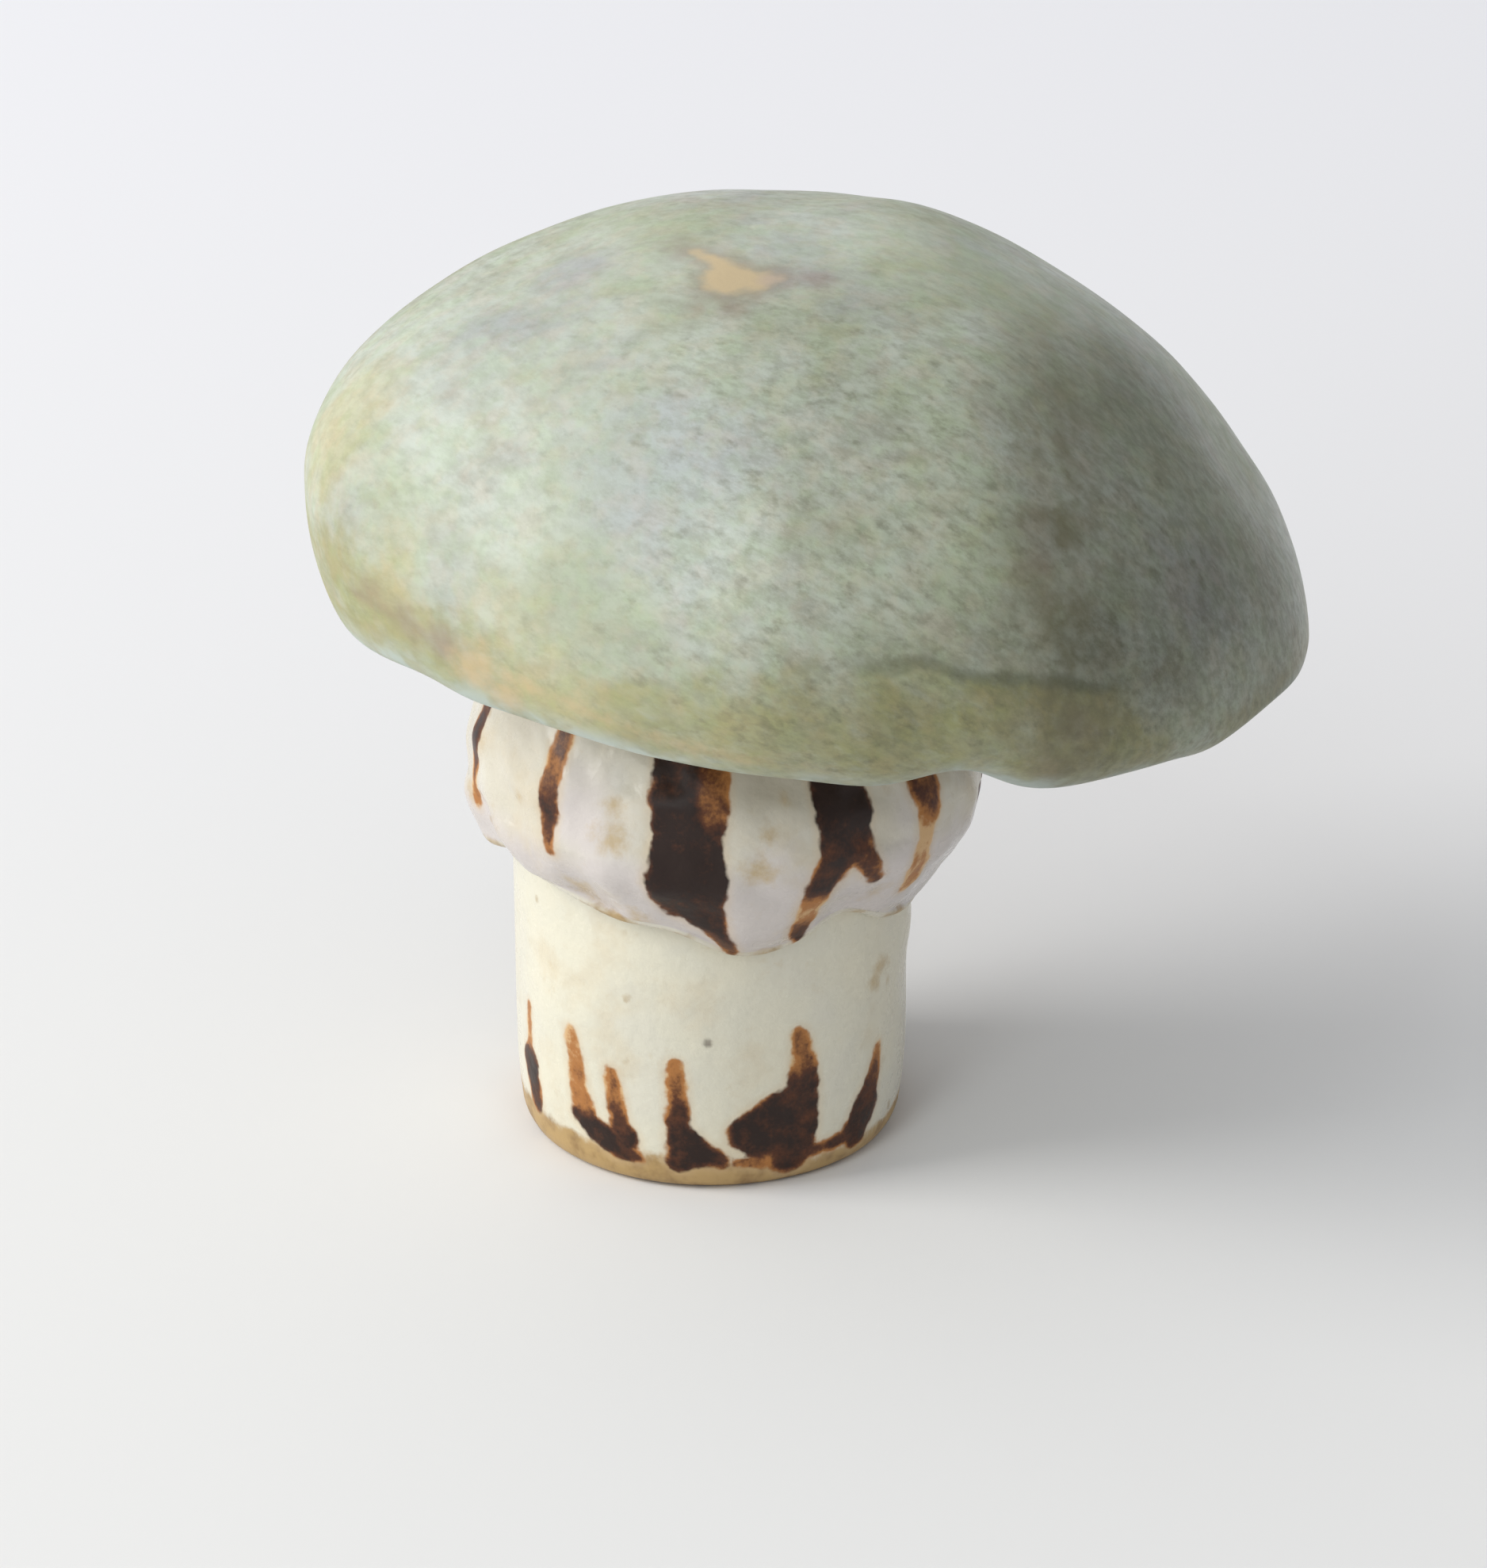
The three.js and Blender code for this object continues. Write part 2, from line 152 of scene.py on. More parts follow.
# Lilac clouds in the skirt's glaze: azimuth, height, half-width and strength.
LILAC_SPOTS = (
    (-122, 37, 4.5, 0.8), (-76, 34, 3.5, 0.5), (-45, 36, 3.0, 0.5), (60, 38, 5.0, 0.6),
    (150, 37, 4.0, 0.7),
)
# Yellow-brown spots in the white glazes: azimuth, height, half-width and strength.
SKIRT_SPOTS = (
    (-168, 33.0, 1.2, 0.7), (-160, 38.5, 1.0, 0.6), (-152, 32.0, 1.8, 0.8), (-141, 36.5, 0.9, 0.6),
    (-112, 38.7, 1.2, 0.8), (-111.5, 36.3, 1.7, 0.9), (-124, 29.2, 1.8, 0.9), (-108, 27.6, 1.7, 0.8),
    (-77, 37.4, 1.0, 0.7), (-73, 40.0, 0.9, 0.6), (-79, 33.8, 1.7, 0.9), (-48, 28.6, 1.4, 0.6),
    (-20, 33.0, 1.1, 0.6), (30, 29.0, 1.6, 0.6), (61, 35.0, 1.2, 0.7), (88, 30.0, 1.3, 0.5),
    (118, 37.0, 1.0, 0.6), (143, 31.0, 1.5, 0.6), (175, 35.0, 1.1, 0.6),
)
STEM_SPOTS = (
    (-30.5, 18.4, 1.2, 1.0), (-34.5, 16.8, 1.1, 0.9), (-27, 16.4, 0.5, 0.6), (-140, 18.0, 2.6, 0.3),
    (-70, 21.0, 2.0, 0.25), (24, 20.0, 1.0, 0.7), (76, 17.0, 1.2, 0.6), (121, 21.0, 0.9, 0.7),
    (158, 17.5, 1.1, 0.5),
)
# Low bumps on the stem: azimuth, height, half-width and rise.
STEM_BUMPS = ((-12, 20, 3.5, 0.6), (-140, 14, 5.0, 0.25), (60, 22, 4.0, 0.4))
# Pinholes in the glaze: azimuth, height and half-width.
PINHOLES = ((-90.5, 14.9, 0.45), (47, 18.2, 0.3), (132, 14.0, 0.35))
# Where the thumb pressed the cap flatter or fuller: middle, half-width and height.
CAP_PRESSES = (
    ((-19, 1, 79), 11, -0.8), ((44, -3, 67), 10, -1.1), ((48, -6, 62), 8, -0.7),
    ((-13, 3, 81), 8, -0.5), ((12, -36, 62), 9, 0.2), ((-20, 28, 68), 12, -0.5),
    ((24, 26, 72), 12, 0.5),
)
# The yellow-olive band's upper edge over the lip: azimuth and height. At the front it ends in a line.
BAND_EDGE = (
    (-180, 10.5), (-164, 11.3), (-157, 12.0), (-149, 11.0), (-141, 9.0), (-131, 8.0), (-122, 7.2),
    (-112, 7.4), (-102, 9.0), (-92, 10.3), (-86, 11.3), (-82, 11.7), (-77, 11.2), (-73, 8.8),
    (-69, 8.7), (-65, 10.1), (-61, 10.7), (-56, 10.1), (-52, 10.0), (-49, 6.5), (-44, 3.0), (-30, 3.6),
    (0, 5.0), (40, 8.0), (70, 6.0), (100, 9.0), (130, 7.0), (160, 9.5),
)
# A rust and peach streak over the lip's left: azimuth and height over the lip.
STREAK_EDGE = ((-158, 7.2), (-150, 6.3), (-140, 5.5), (-130, 5.0), (-115, 3.8), (-100, 2.6), (-85, 2.2))
# Painted shade: how much darker the glaze is painted towards the right of the front, where the cap turns
# away from the window: x and share.
SHADE_ALONG = (
    (0, 0.0), (4, 0.10), (9, 0.18), (14, 0.22), (23, 0.24), (27, 0.29), (30, 0.37), (34, 0.52),
    (60, 0.54),
)
# The glaze's streaks slant down to the right: turns of their long axis round x, y and z, and the
# same for the left flank, where the clay falls away to the left.
STREAK_TURN = (0, 24, -19)
STREAK_TURN_LEFT = (0, -4, -60)
# The crown's bare patch in plan: x, y and half-width along its length.
CROWN_PATCH = ((-1.2, -4.4, 0.2), (1.0, -6.6, 0.8), (1.6, -9.0, 2.2), (4.1, -9.4, 1.5), (5.8, -9.2, 0.6))
# Stains on the cap, and places where shade is painted on its glaze: middle, half-width and strength.
MAUVE_STAINS = (
    ((-12, -3, 82), 5, 0.8), ((-12, -11, 80), 6, 0.5), ((-16, -10, 79), 5, 0.6),
    ((13, -13, 82), 6, 0.5), ((-8, -17, 78), 5, 0.5), ((-1, -27, 74), 7, 0.4), ((-30, -17, 65), 4, 0.5),
    ((2, 10, 86), 9, 0.5), ((5.6, -9.4, 83.5), 2.3, 1.1), ((8.8, -9.2, 83.5), 2.6, 0.8),
    ((41, -26, 62), 8, 0.65), ((10, 28, 70), 9, 0.7), ((34, 14, 66), 6, 0.7), ((-6, 34, 60), 5, 0.7),
    ((-22, 20, 68), 7, 0.5),
)
# Painted shade: spots where the cap's glaze is painted darker to stand in for shade.
SHADE_STAINS = (
    ((43, -24, 60), 6, 0.12), ((35, -8, 74), 9, 0.14), ((49, -14, 57), 8, 0.08),
    ((-30, -15, 67), 10, 0.15), ((-19, -10, 77), 10, 0.15), ((-20, -24, 68), 9, 0.14),
    ((3, -14, 82), 8, 0.12), ((8, -39, 57), 6, 0.14), ((16, -39, 56), 5, 0.26),
    ((32, -35, 60), 5, 0.24), ((28, -31, 68), 5, 0.10), ((14, -39, 59), 5, 0.14),
    ((21, -38, 59), 6, 0.16), ((30, -36, 55), 5, 0.12), ((38, -31, 56), 5, 0.20),
    ((7, -23, 78), 6, 0.12), ((-26, 10, 74), 12, 0.12),
)
# Blue-grey stains in the glaze; the ones at the front's middle, round (-4, -28, 73), also paint in the
# bluish tint of the sheen there.
BLUE_STAINS = (
    ((-2, -34, 68), 6, 0.6), ((-9, -23, 76), 6, 0.5), ((-22, -27, 62), 5, 0.5),
    ((-4, -28, 73), 11, 0.8), ((-20, -10, 78), 8, 0.45), ((7, -3, 84), 9, 0.45), ((22, 0, 81), 6, 0.5),
    ((-5, 30, 72), 8, 0.6), ((-34, 8, 66), 6, 0.5),
)
OCHRE_STAINS = (
    ((-31, -9, 69), 8, 0.85), ((-27, -23, 61), 6, 0.6), ((-17, -31, 61), 6, 0.6),
    ((-13, -33, 55), 7, 0.8), ((2, -37, 54), 6, 0.5), ((-30, 12, 62), 7, 0.6), ((20, 35, 56), 8, 0.9),
    ((44, 12, 57), 7, 0.7), ((-12, 30, 62), 6, 0.7),
)
PEACH_STAINS = (
    ((-19.2, -28.8, 55.2), 3.4, 0.75), ((-17.0, -30.0, 53.0), 2.6, 0.8), ((14, -38.5, 52), 3.0, 0.25),
    ((33, 28, 50), 3.5, 0.9), ((-22, 24, 56), 3.0, 0.8), ((48, 6, 48), 3.0, 0.7),
)
UMBER_STAINS = (
    ((-28, -20.5, 59.3), 2.6, 0.45), ((-25, -23.5, 57.8), 2.4, 0.55), ((-21.8, -26.6, 56.9), 2.4, 0.7),
    ((-2.7, -2.6, 83.6), 2.2, 0.4), ((-1.0, -12.8, 81.8), 2.0, 0.45), ((1.8, -13.6, 81.7), 2.0, 0.5),
    ((9.4, -9.6, 82.9), 2.4, 0.45), ((26, -32, 67), 4.0, 0.4), ((29, 30, 53), 3.0, 0.6),
    ((-26, 20, 58), 2.6, 0.6), ((14, 26, 76), 3.0, 0.4), ((31, -37, 54), 4.0, 0.35),
    ((28, -38, 51), 4.0, 0.3), ((49, -20, 51), 4.0, 0.35),
)


# Plain formulas

def turn(a, b):
    """Signed difference of two azimuths in degrees, from -180 to 180."""
    return (a - b + 180) % 360 - 180


def bell(distance, width):
    """e to the power of minus the square of distance over width."""
    return np.exp(-((distance / width) ** 2))


def smooth(value, low=0.0, high=1.0):
    """0 below low and 1 above high, with the cubic 3tt - 2ttt between."""
    t = np.clip((value - low) / (high - low), 0, 1)
    return t * t * (3 - 2 * t)


def swellings(rows, azimuth):
    """The sum of one bell curve for each row of azimuth, half-width and amount."""
    return sum(amount * bell(turn(azimuth, at), width) for at, width, amount in rows)


def stations(column, azimuth):
    """A column of SKIRT_STATIONS at each azimuth: the cubic through the four nearest stations."""
    table = np.array(SKIRT_STATIONS, dtype=float)
    at, value = table[:, 0], table[:, column]
    here = np.where(azimuth < at[0], azimuth + 360, azimuth)
    i = np.searchsorted(at, here, side="right") - 1
    count = len(at)
    span = (at[(i + 1) % count] - at[i] + 360) % 360
    t = (here - at[i]) / span
    p0, p1, p2, p3 = (value[(i + k) % count] for k in (-1, 0, 1, 2))
    inner = 2 * p0 - 5 * p1 + 4 * p2 - p3 + t * (3 * (p1 - p2) + p3 - p0)
    return p1 + 0.5 * t * (p2 - p0 + t * inner)


def lumps(points, size, seed, waves=28):
    """A smooth uneven field of about -1 to 1: plane waves of random direction and phase, summed."""
    rng = np.random.default_rng(seed)
    direction = rng.normal(size=(waves, 3))
    direction /= np.linalg.norm(direction, axis=1, keepdims=True)
    length = size * rng.uniform(0.7, 1.6, waves)
    phase = rng.uniform(0, 2 * math.pi, waves)
    field = np.zeros(points.shape[:-1])
    for d, l, p in zip(direction, length, phase):
        field += np.sin(points @ d * (2 * math.pi / l) + p)
    return field * math.sqrt(2 / waves) * 0.6


def round_angles(columns):
    """A row of the azimuths of a ring's columns, from -180 degrees, once round."""
    return (np.arange(columns) * (360 / columns) - 180)[None, :]


def azimuths(grid):
    """The azimuth of each column of a grid of rings."""
    return round_angles(grid.shape[1])


def sine_cosine(degrees):
    """The sine and the cosine of angles in degrees."""
    return np.sin(np.radians(degrees)), np.cos(np.radians(degrees))


def spaced(start, end, count, with_end=True):
    """A column of count values spaced evenly from start to end, for a grid's rows."""
    return np.linspace(start, end, count, endpoint=with_end)[:, None]


def ring_points(middle, radius, azimuth, z):
    """x = middle + radius cos azimuth, y = radius sin azimuth, z, as one array of points."""
    s, c = sine_cosine(azimuth)
    return np.stack(np.broadcast_arrays(middle + radius * c, radius * s, z), axis=-1)


def raised(points, height):
    """Each point moved by height along the normal: the row step crossed with the column step."""
    down = np.gradient(points, axis=0)
    across = np.roll(points, -1, axis=1) - np.roll(points, 1, axis=1)
    normal = np.cross(down, across)
    length = np.linalg.norm(normal, axis=-1, keepdims=True)
    return points + normal / np.maximum(length, 1e-9) * height[..., None]


def depth_in(u, v, u0, v0, w0, u1, v1, w1):
    """How deep (u, v) lies in a stretch whose half-width goes from w0 to w1, and where along it."""
    du, dv = u1 - u0, v1 - v0
    k = np.clip(((u - u0) * du + (v - v0) * dv) / (du * du + dv * dv), 0, 1)
    return w0 + (w1 - w0) * k - np.hypot(u - u0 - du * k, v - v0 - dv * k), k


def stripe_fields(azimuth, radius, z, stripes):
    """How deep each point lies inside the nearest stripe, in millimetres, and the pigment there.

    Depth is the half-width, drawn out along each stretch of the stroke, less the distance to it over
    the unrolled surface. The second field is the pigment's thinness, 0 dark to 1 amber: the mean over
    the stretches, each weighted by e to the power of three times its depth.
    """
    depth = np.full(np.broadcast(azimuth, z).shape, FAR_OUT)
    thin = np.zeros(depth.shape)
    total = np.zeros(depth.shape)
    for stripe in stripes:
        for (a0, z0, w0, t0), (a1, z1, w1, t1) in zip(stripe, stripe[1:]):
            u = radius * np.radians(turn(azimuth, a0))
            here, k = depth_in(u, z, 0, z0, w0, radius * math.radians(a1 - a0), z1, w1)
            weight = np.exp(3 * here)
            thin += weight * (t0 + (t1 - t0) * k)
            total += weight
            depth = np.maximum(depth, here)
    return depth, thin / np.maximum(total, 1e-30)


def around_place(points, at, width):
    """A bell curve of each point's distance from one place."""
    return bell(np.linalg.norm(points - np.array(at), axis=-1), width)


def stain(points, spots):
    """The strongest of the spots at each point: strength times a bell curve of the distance."""
    return np.max([k * around_place(points, at, width) for at, width, k in spots], axis=0)


def spots_at(azimuth, radius, z, spots):
    """The strongest of the spots at each point of a wall, over the unrolled surface."""
    strength = np.zeros(np.broadcast(azimuth, z).shape)
    for at, height, width, amount in spots:
        distance = np.hypot(radius * np.radians(turn(azimuth, at)), z - height)
        strength = np.maximum(strength, amount * bell(distance, width))
    return strength


# Sizes and colours that a user would change

def length(name, words, mm):
    """A length property with its default in millimetres."""
    return FloatProperty(name=name, description=words, default=mm * MM, unit="LENGTH", precision=4)


def colour(name, words, rgb):
    """A colour property, linear red, green and blue."""
    return FloatVectorProperty(
        name=name, description=words, default=rgb, subtype="COLOR", size=3, min=0, max=1
    )


class CapSizes(bpy.types.PropertyGroup):
    """Driving sizes of the cap"""

    crown_height: length("Crown height", "The highest clay before the thumb swellings", 83.7)
    crown_x: length("Crown offset", "How far the crown is right of the stem's axis", 4.0)
    middle_x: length("Ring offset", "How far the widest ring is right of the stem's axis", 8.4)
    reach: length("Reach", "Radius of the widest ring", 41.0)
    brim_height: length("Brim height", "Height of the widest ring on the stem's axis", 55.5)
    brim_tilt: length("Brim tilt", "How much lower the ring hangs on the right", 7.2)
    drop: length("Drop", "From the widest ring down to the lip", 6.5)
    drop_tilt: length("Drop tilt", "How much shallower the drop is on the right", 3.2)
    tuck: length("Tuck", "How far the lip turns in", 4.3)
    tuck_tilt: length("Tuck tilt", "How much more it turns in on the right", 1.4)
    wall: length("Wall", "Thickness of the clay", 4.6)
    lip_inset: length("Lip inset", "Depth of the lip's inner half-round", 2.3)
    lip_rise: length("Lip rise", "Height of the lip's inner half-round", 2.2)
    fullness_tilt: FloatProperty(
        name="Fullness tilt", description="How much squarer the right side is", default=0.13
    )
    rise: FloatProperty(name="Rise", description="Power of the crown's curve", default=1.11)


class StemSizes(bpy.types.PropertyGroup):
    """Driving sizes of the stem"""

    radius: length("Radius", "Outer radius of the tube", 17.5)
    foot_radius: length("Foot radius", "Outer radius just over the foot", 16.5)
    foot_round: length("Foot round", "Height over which the foot turns in", 3.2)
    foot_flat: length("Foot flat", "Outer radius of the ring it stands on", 15.6)
    bore: length("Bore", "Inner radius of the tube", 13.0)


class SkirtSizes(bpy.types.PropertyGroup):
    """Driving sizes of the skirt"""

    swell_height: length("Swell height", "Where the skirt is widest", 34.0)
    top: length("Top", "Where it is smeared out on the stem", 46.0)
    lip: length("Edge", "Half the thickness of its lower edge", 0.8)
    overhang: length("Overhang", "Height of the hollow behind its edge", 3.6)


class GlazeColours(bpy.types.PropertyGroup):
    """Colours of the glazes and the clay"""

    celadon: colour("Celadon", "Main green of the cap", (0.42, 0.46, 0.34))
    mist: colour("Mist", "Pale blue-green of the cap", (0.53, 0.57, 0.50))
    taupe: colour("Taupe", "Pinkish grey of the cap", (0.36, 0.34, 0.28))
    olive: colour("Olive", "Dark streaks of the cap", (0.18, 0.18, 0.11))
    moss: colour("Moss", "Yellow-olive band near the lip", (0.37, 0.355, 0.175))
    bare: colour("Bare clay", "Ochre where the glaze is thin", (0.60, 0.47, 0.28))
    cream: colour("Cream", "Stem glaze", (0.72, 0.68, 0.54))
    blush: colour("Blush", "Skirt glaze", (0.585, 0.54, 0.44))
    umber: colour("Umber", "Thick stripe pigment", (0.020, 0.008, 0.005))
    rust: colour("Rust", "Stripe pigment", (0.095, 0.030, 0.011))
    amber: colour("Amber", "Thin stripe pigment", (0.40, 0.165, 0.045))
    tan: colour("Tan", "Bare clay round the foot", (0.45, 0.30, 0.125))


class StageSizes(bpy.types.PropertyGroup):
    """The stage's lights and floor"""

    window_power: FloatProperty(
        name="Window power", description="Power of the window light", default=8.7, unit="POWER"
    )
    fill_power: FloatProperty(
        name="Fill power", description="Power of the weak light from the front", default=2.0, unit="POWER"
    )
    sky: FloatProperty(name="Sky", description="Strength of the room's light", default=0.745)
    floor_colour: colour("Floor", "The pale floor", (0.79, 0.785, 0.775))


# Meshes

def in_mm(group):
    """A property group's numbers by name, with lengths in millimetres."""
    numbers = {}
    for prop in group.bl_rna.properties:
        if prop.type == "FLOAT" and not prop.is_array:
            unit = MM if prop.unit == "LENGTH" else 1
            numbers[prop.identifier] = getattr(group, prop.identifier) / unit
    return SimpleNamespace(**numbers)


def skin(grid, poles):
    """Which of the grid's points to keep, and the faces of the closed skin over them.

    Each row of the grid is a ring. With poles, the first and last rings are one point each. Without,
    the last ring joins the first, as on a tube's wall.
    """
    rows, columns = grid.shape[:2]
    ids = np.arange(rows * columns).reshape(rows, columns)
    if poles:
        keep = np.concatenate([ids[0, :1], ids[1:-1].ravel(), ids[-1, :1]])
        body = ids[1:-1] - columns + 1
    else:
        keep = ids.ravel()
        body = np.vstack([ids, ids[:1]])
    right = np.roll(body, -1, axis=1)
    faces = np.stack([body[:-1], body[1:], right[1:], right[:-1]], axis=-1).reshape(-1, 4).tolist()
    if poles:
        crown = np.zeros(columns, dtype=int)
        ceiling = np.full(columns, len(keep) - 1)
        faces += np.stack([crown, body[0], right[0]], axis=-1).tolist()
        faces += np.stack([body[-1], ceiling, right[-1]], axis=-1).tolist()
    return keep, faces


def add_piece(name, grid, fields, poles, node, material):
    """A mesh over rings of points in millimetres round the stem's axis, carrying the fields."""
    keep, faces = skin(grid, poles)
    points = grid.reshape(-1, 3)[keep] + np.array([*STEM_AXIS, 0])
    mesh = bpy.data.meshes.new(name)
    mesh.from_pydata((points * MM).tolist(), [], faces)
    mesh.shade_smooth()
    for key, values in fields.items():
        layer = mesh.attributes.new(key, "FLOAT", "POINT")
        layer.data.foreach_set("value", values.reshape(-1)[keep].astype(np.float32))
    mesh.materials.append(material)
    mesh.update()
    obj = bpy.data.objects.new(name, mesh)
    bpy.context.collection.objects.link(obj)
    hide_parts(node)
    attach(obj, "root")


# The cap's form

def cap_section(size, azimuth):
    """The cap's driving values at each azimuth: reach, brim, lip, tuck and fullness."""
    c = np.cos(np.radians(azimuth))
    brim = size.brim_height - size.brim_tilt * c
    return SimpleNamespace(
        reach=size.reach + swellings(REACH_SWELLINGS, azimuth),
        brim=brim,
        lip=brim - size.drop + size.drop_tilt * c + swellings(LIP_WAVES, azimuth),
        tuck=size.tuck + size.tuck_tilt * c,
        fullness=1 - size.fullness_tilt * c,
    )


def cap_dome(size, polar, azimuth, inset):
    """radius = (reach - inset) sin(polar)^fullness, and height from brim to crown by cos(polar)^rise."""
    at = cap_section(size, azimuth)
    s, c = sine_cosine(polar)
    c = np.clip(c, 0, 1)
    middle = size.middle_x + (size.crown_x - size.middle_x) * c * c
    radius = (at.reach - inset) * s**at.fullness
    z = at.brim + (size.crown_height - inset - at.brim) * c**size.rise
    points = ring_points(middle, radius, azimuth, z)
    for x, y, width, height in CROWN_SWELLINGS:
        distance = np.hypot(points[..., 0] - x, points[..., 1] - y)
        points[..., 2] += height * bell(distance, width) * np.minimum(1, 2 * c)
    return points


def cap_edge(size, turned, azimuth):
    """Below the widest ring: radius = reach - tuck (1 - cos), height = brim - (brim - lip) sin."""
    at = cap_section(size, azimuth)
    s, c = sine_cosine(turned)
    radius = at.reach - at.tuck * (1 - c)
    return ring_points(size.middle_x, radius, azimuth, at.brim - (at.brim - at.lip) * s)


def cap_lip(size, turned, azimuth):
    """The lip's inner half-round: in by lip_inset sin and up by lip_rise (1 - cos)."""
    at = cap_section(size, azimuth)
    s, c = sine_cosine(turned)
    radius = at.reach - at.tuck - size.lip_inset * s
    return ring_points(size.middle_x, radius, azimuth, at.lip + size.lip_rise * (1 - c))


def cap_inner_edge(size, turned, azimuth):
    """The inner face from the lip up to the widest ring, a quarter round like the outer one."""
    at = cap_section(size, azimuth)
    s, c = sine_cosine(turned)
    inward = at.tuck + size.lip_inset - size.wall
    radius = at.reach - size.wall - inward * (1 - c)
    return ring_points(size.middle_x, radius, azimuth, at.brim - (at.brim - at.lip - size.lip_rise) * s)


def ceiling(size, x, y):
    """Height of the cap's inner face over points of the plan, by repeated estimates of polar."""
    polar = np.full(x.shape, 45.0)
    for _ in range(40):
        c = np.cos(np.radians(polar))
        middle = size.middle_x + (size.crown_x - size.middle_x) * c * c
        azimuth = np.degrees(np.arctan2(y, x - middle))
        at = cap_section(size, azimuth)
        share = np.clip(np.hypot(x - middle, y) / (at.reach - size.wall), 0, 1)
        polar = np.degrees(np.arcsin(share ** (1 / at.fullness)))
    return cap_dome(size, polar, azimuth, size.wall)[..., 2]


def cap_grid(size, columns=400):
    """Rings from the crown out, under the lip and up to the ceiling's middle; and how many are outside."""
    azimuth = round_angles(columns)
    outside = np.concatenate([
        cap_dome(size, spaced(0, 90, 120, False), azimuth, 0),
        cap_edge(size, spaced(0, 90, 46, False), azimuth),
    ])
    inside = np.concatenate([
        cap_lip(size, spaced(0, 90, 12, False), azimuth),
        cap_inner_edge(size, spaced(90, 0, 14, False), azimuth),
        cap_dome(size, spaced(90, 0, 36), azimuth, size.wall),
    ])
    return np.concatenate([outside, inside]), len(outside)


def cap_relief(grid, outer_rows):
    """Height of the hand's work over the plain form: lumps, the soft fold and the crown's dent."""
    x, y = grid[..., 0], grid[..., 1]
    height = 0.16 * lumps(grid, 24, 3) + 0.07 * lumps(grid, 9, 4)
    front = smooth(-y, 4, 20)
    fold = FOLD_HEIGHT * bell(x - FOLD_X, 5.5) * front
    hollow = -0.35 * bell(x - FOLD_X - 15, 10) * front
    dent = -0.30 * bell(np.hypot(x - CROWN_DENT[0], y - CROWN_DENT[1]), 6)
    presses = sum(depth * around_place(grid, at, width) for at, width, depth in CAP_PRESSES)
    on_outside = (np.arange(len(grid)) < outer_rows)[:, None]
    return np.where(on_outside, height + fold + hollow + dent + presses, 0.6 * height)


# The stem's and the skirt's form

def stem_radius(size, azimuth, z):
    """The radius, less an exponential turn-in at the foot."""
    return size.radius - (size.radius - size.foot_radius) * np.exp(-z / size.foot_round)


def stem_grid(size, cap, columns=360):
    """A tube as one loop of rings: down the outside, under the foot, up the bore and over the top.

    Near the cap the outside flares by a quarter round, and everything at the top stands a little
    inside the clay of the cap.
    """
    azimuth = round_angles(columns)
    s, c = sine_cosine(azimuth)
    top = ceiling(cap, size.radius * c, size.radius * s)
    z = FOOT_EDGE + (top - 0.1 - FOOT_EDGE) * spaced(1, 0, 210)
    share = ((z - top + FILLET_HEIGHT) / FILLET_HEIGHT).clip(0, 1)
    flare = FILLET_OUT * (1 - np.sqrt(1 - share**2))
    outside = ring_points(0, stem_radius(size, azimuth, z) + flare, azimuth, z)

    down, inward = sine_cosine(spaced(0, 90, 12))
    start = stem_radius(size, azimuth, FOOT_EDGE)
    foot_radius = size.foot_flat + (start - size.foot_flat) * inward
    foot = ring_points(0, foot_radius, azimuth, FOOT_EDGE * (1 - down))
    under = ring_points(0, spaced(size.foot_flat, size.bore + CHAMFER, 6)[1:], azimuth, 0)
    corner = np.array([[0.25, 0.25], [0, CHAMFER]])
    chamfer = ring_points(0, size.bore + corner[:, :1], azimuth, corner[:, 1:])

    inner_top = ceiling(cap, size.bore * c, size.bore * s) + 0.15
    z = 2 + (inner_top - 2) * spaced(0, 1, 40)
    bore = ring_points(0, size.bore, azimuth, z)
    over = size.bore + (size.radius + FILLET_OUT - size.bore) * spaced(0.2, 0.9, 4)
    lid = ring_points(0, over, azimuth, ceiling(cap, over * c, over * s) + 0.25)
    return np.concatenate([outside, foot[1:], under, chamfer, bore, lid])


def skirt_radius(size, stem, azimuth, z):
    """Out from the lower edge by a quarter sine, and back in to the stem by a square curve."""
    edge, edge_radius, swell = (stations(k, azimuth) for k in (1, 2, 3))
    share = np.clip((z - edge) / (size.swell_height - edge), 0, 1)
    out = np.sin(np.radians(90) * share)
    back = np.clip((z - size.swell_height) / (size.top - size.swell_height), 0, 1) ** 2
    folds = swellings(SKIRT_FOLDS, azimuth) * np.sin(np.pi * share) ** 0.6 * (1 - back)
    wall = edge_radius + (swell - edge_radius) * out + folds
    return wall + (stem.radius - 0.15 - wall) * back


def skirt_grid(size, stem, columns=460):
    """Rings down the skirt's outside, round its edge and up the hidden inside; how many are outside."""
    azimuth = round_angles(columns)
    edge = stations(1, azimuth)
    roll = size.lip
    middle = edge + roll
    z = middle + (size.top - middle) * spaced(1, 0, 90)
    outside = ring_points(0, skirt_radius(size, stem, azimuth, z), azimuth, z)
    outer = skirt_radius(size, stem, azimuth, middle)
    s, c = sine_cosine(spaced(0, 180, 16)[1:])
    under = ring_points(0, outer - roll * (1 - c), azimuth, middle - roll * s)

    inward = spaced(0, 1, 12)[1:]
    start, bore = outer - 2 * roll, stem.radius - 0.4
    rise = middle + size.overhang * inward**1.5
    hollow = ring_points(0, start + (bore - start) * inward, azimuth, rise)
    z = middle + size.overhang
    upward = spaced(0, 84 / 89, 8)  # ends short of the top
    hidden = ring_points(0, bore, azimuth, z + (size.top - 0.3 - z) * upward)
    return np.concatenate([outside, under, hollow, hidden[1:]]), len(outside)


# Shader helpers

def put(tree, kind, inputs=None, **settings):
    """A shader node with its settings, and its inputs, by name or number, set or linked."""
    node = tree.nodes.new("ShaderNode" + kind)
    for key, value in settings.items():
        setattr(node, key, value)
    for key, value in (inputs or {}).items():
        if isinstance(value, bpy.types.NodeSocket):
            tree.links.new(value, node.inputs[key])
        else:
            node.inputs[key].default_value = value
    return node


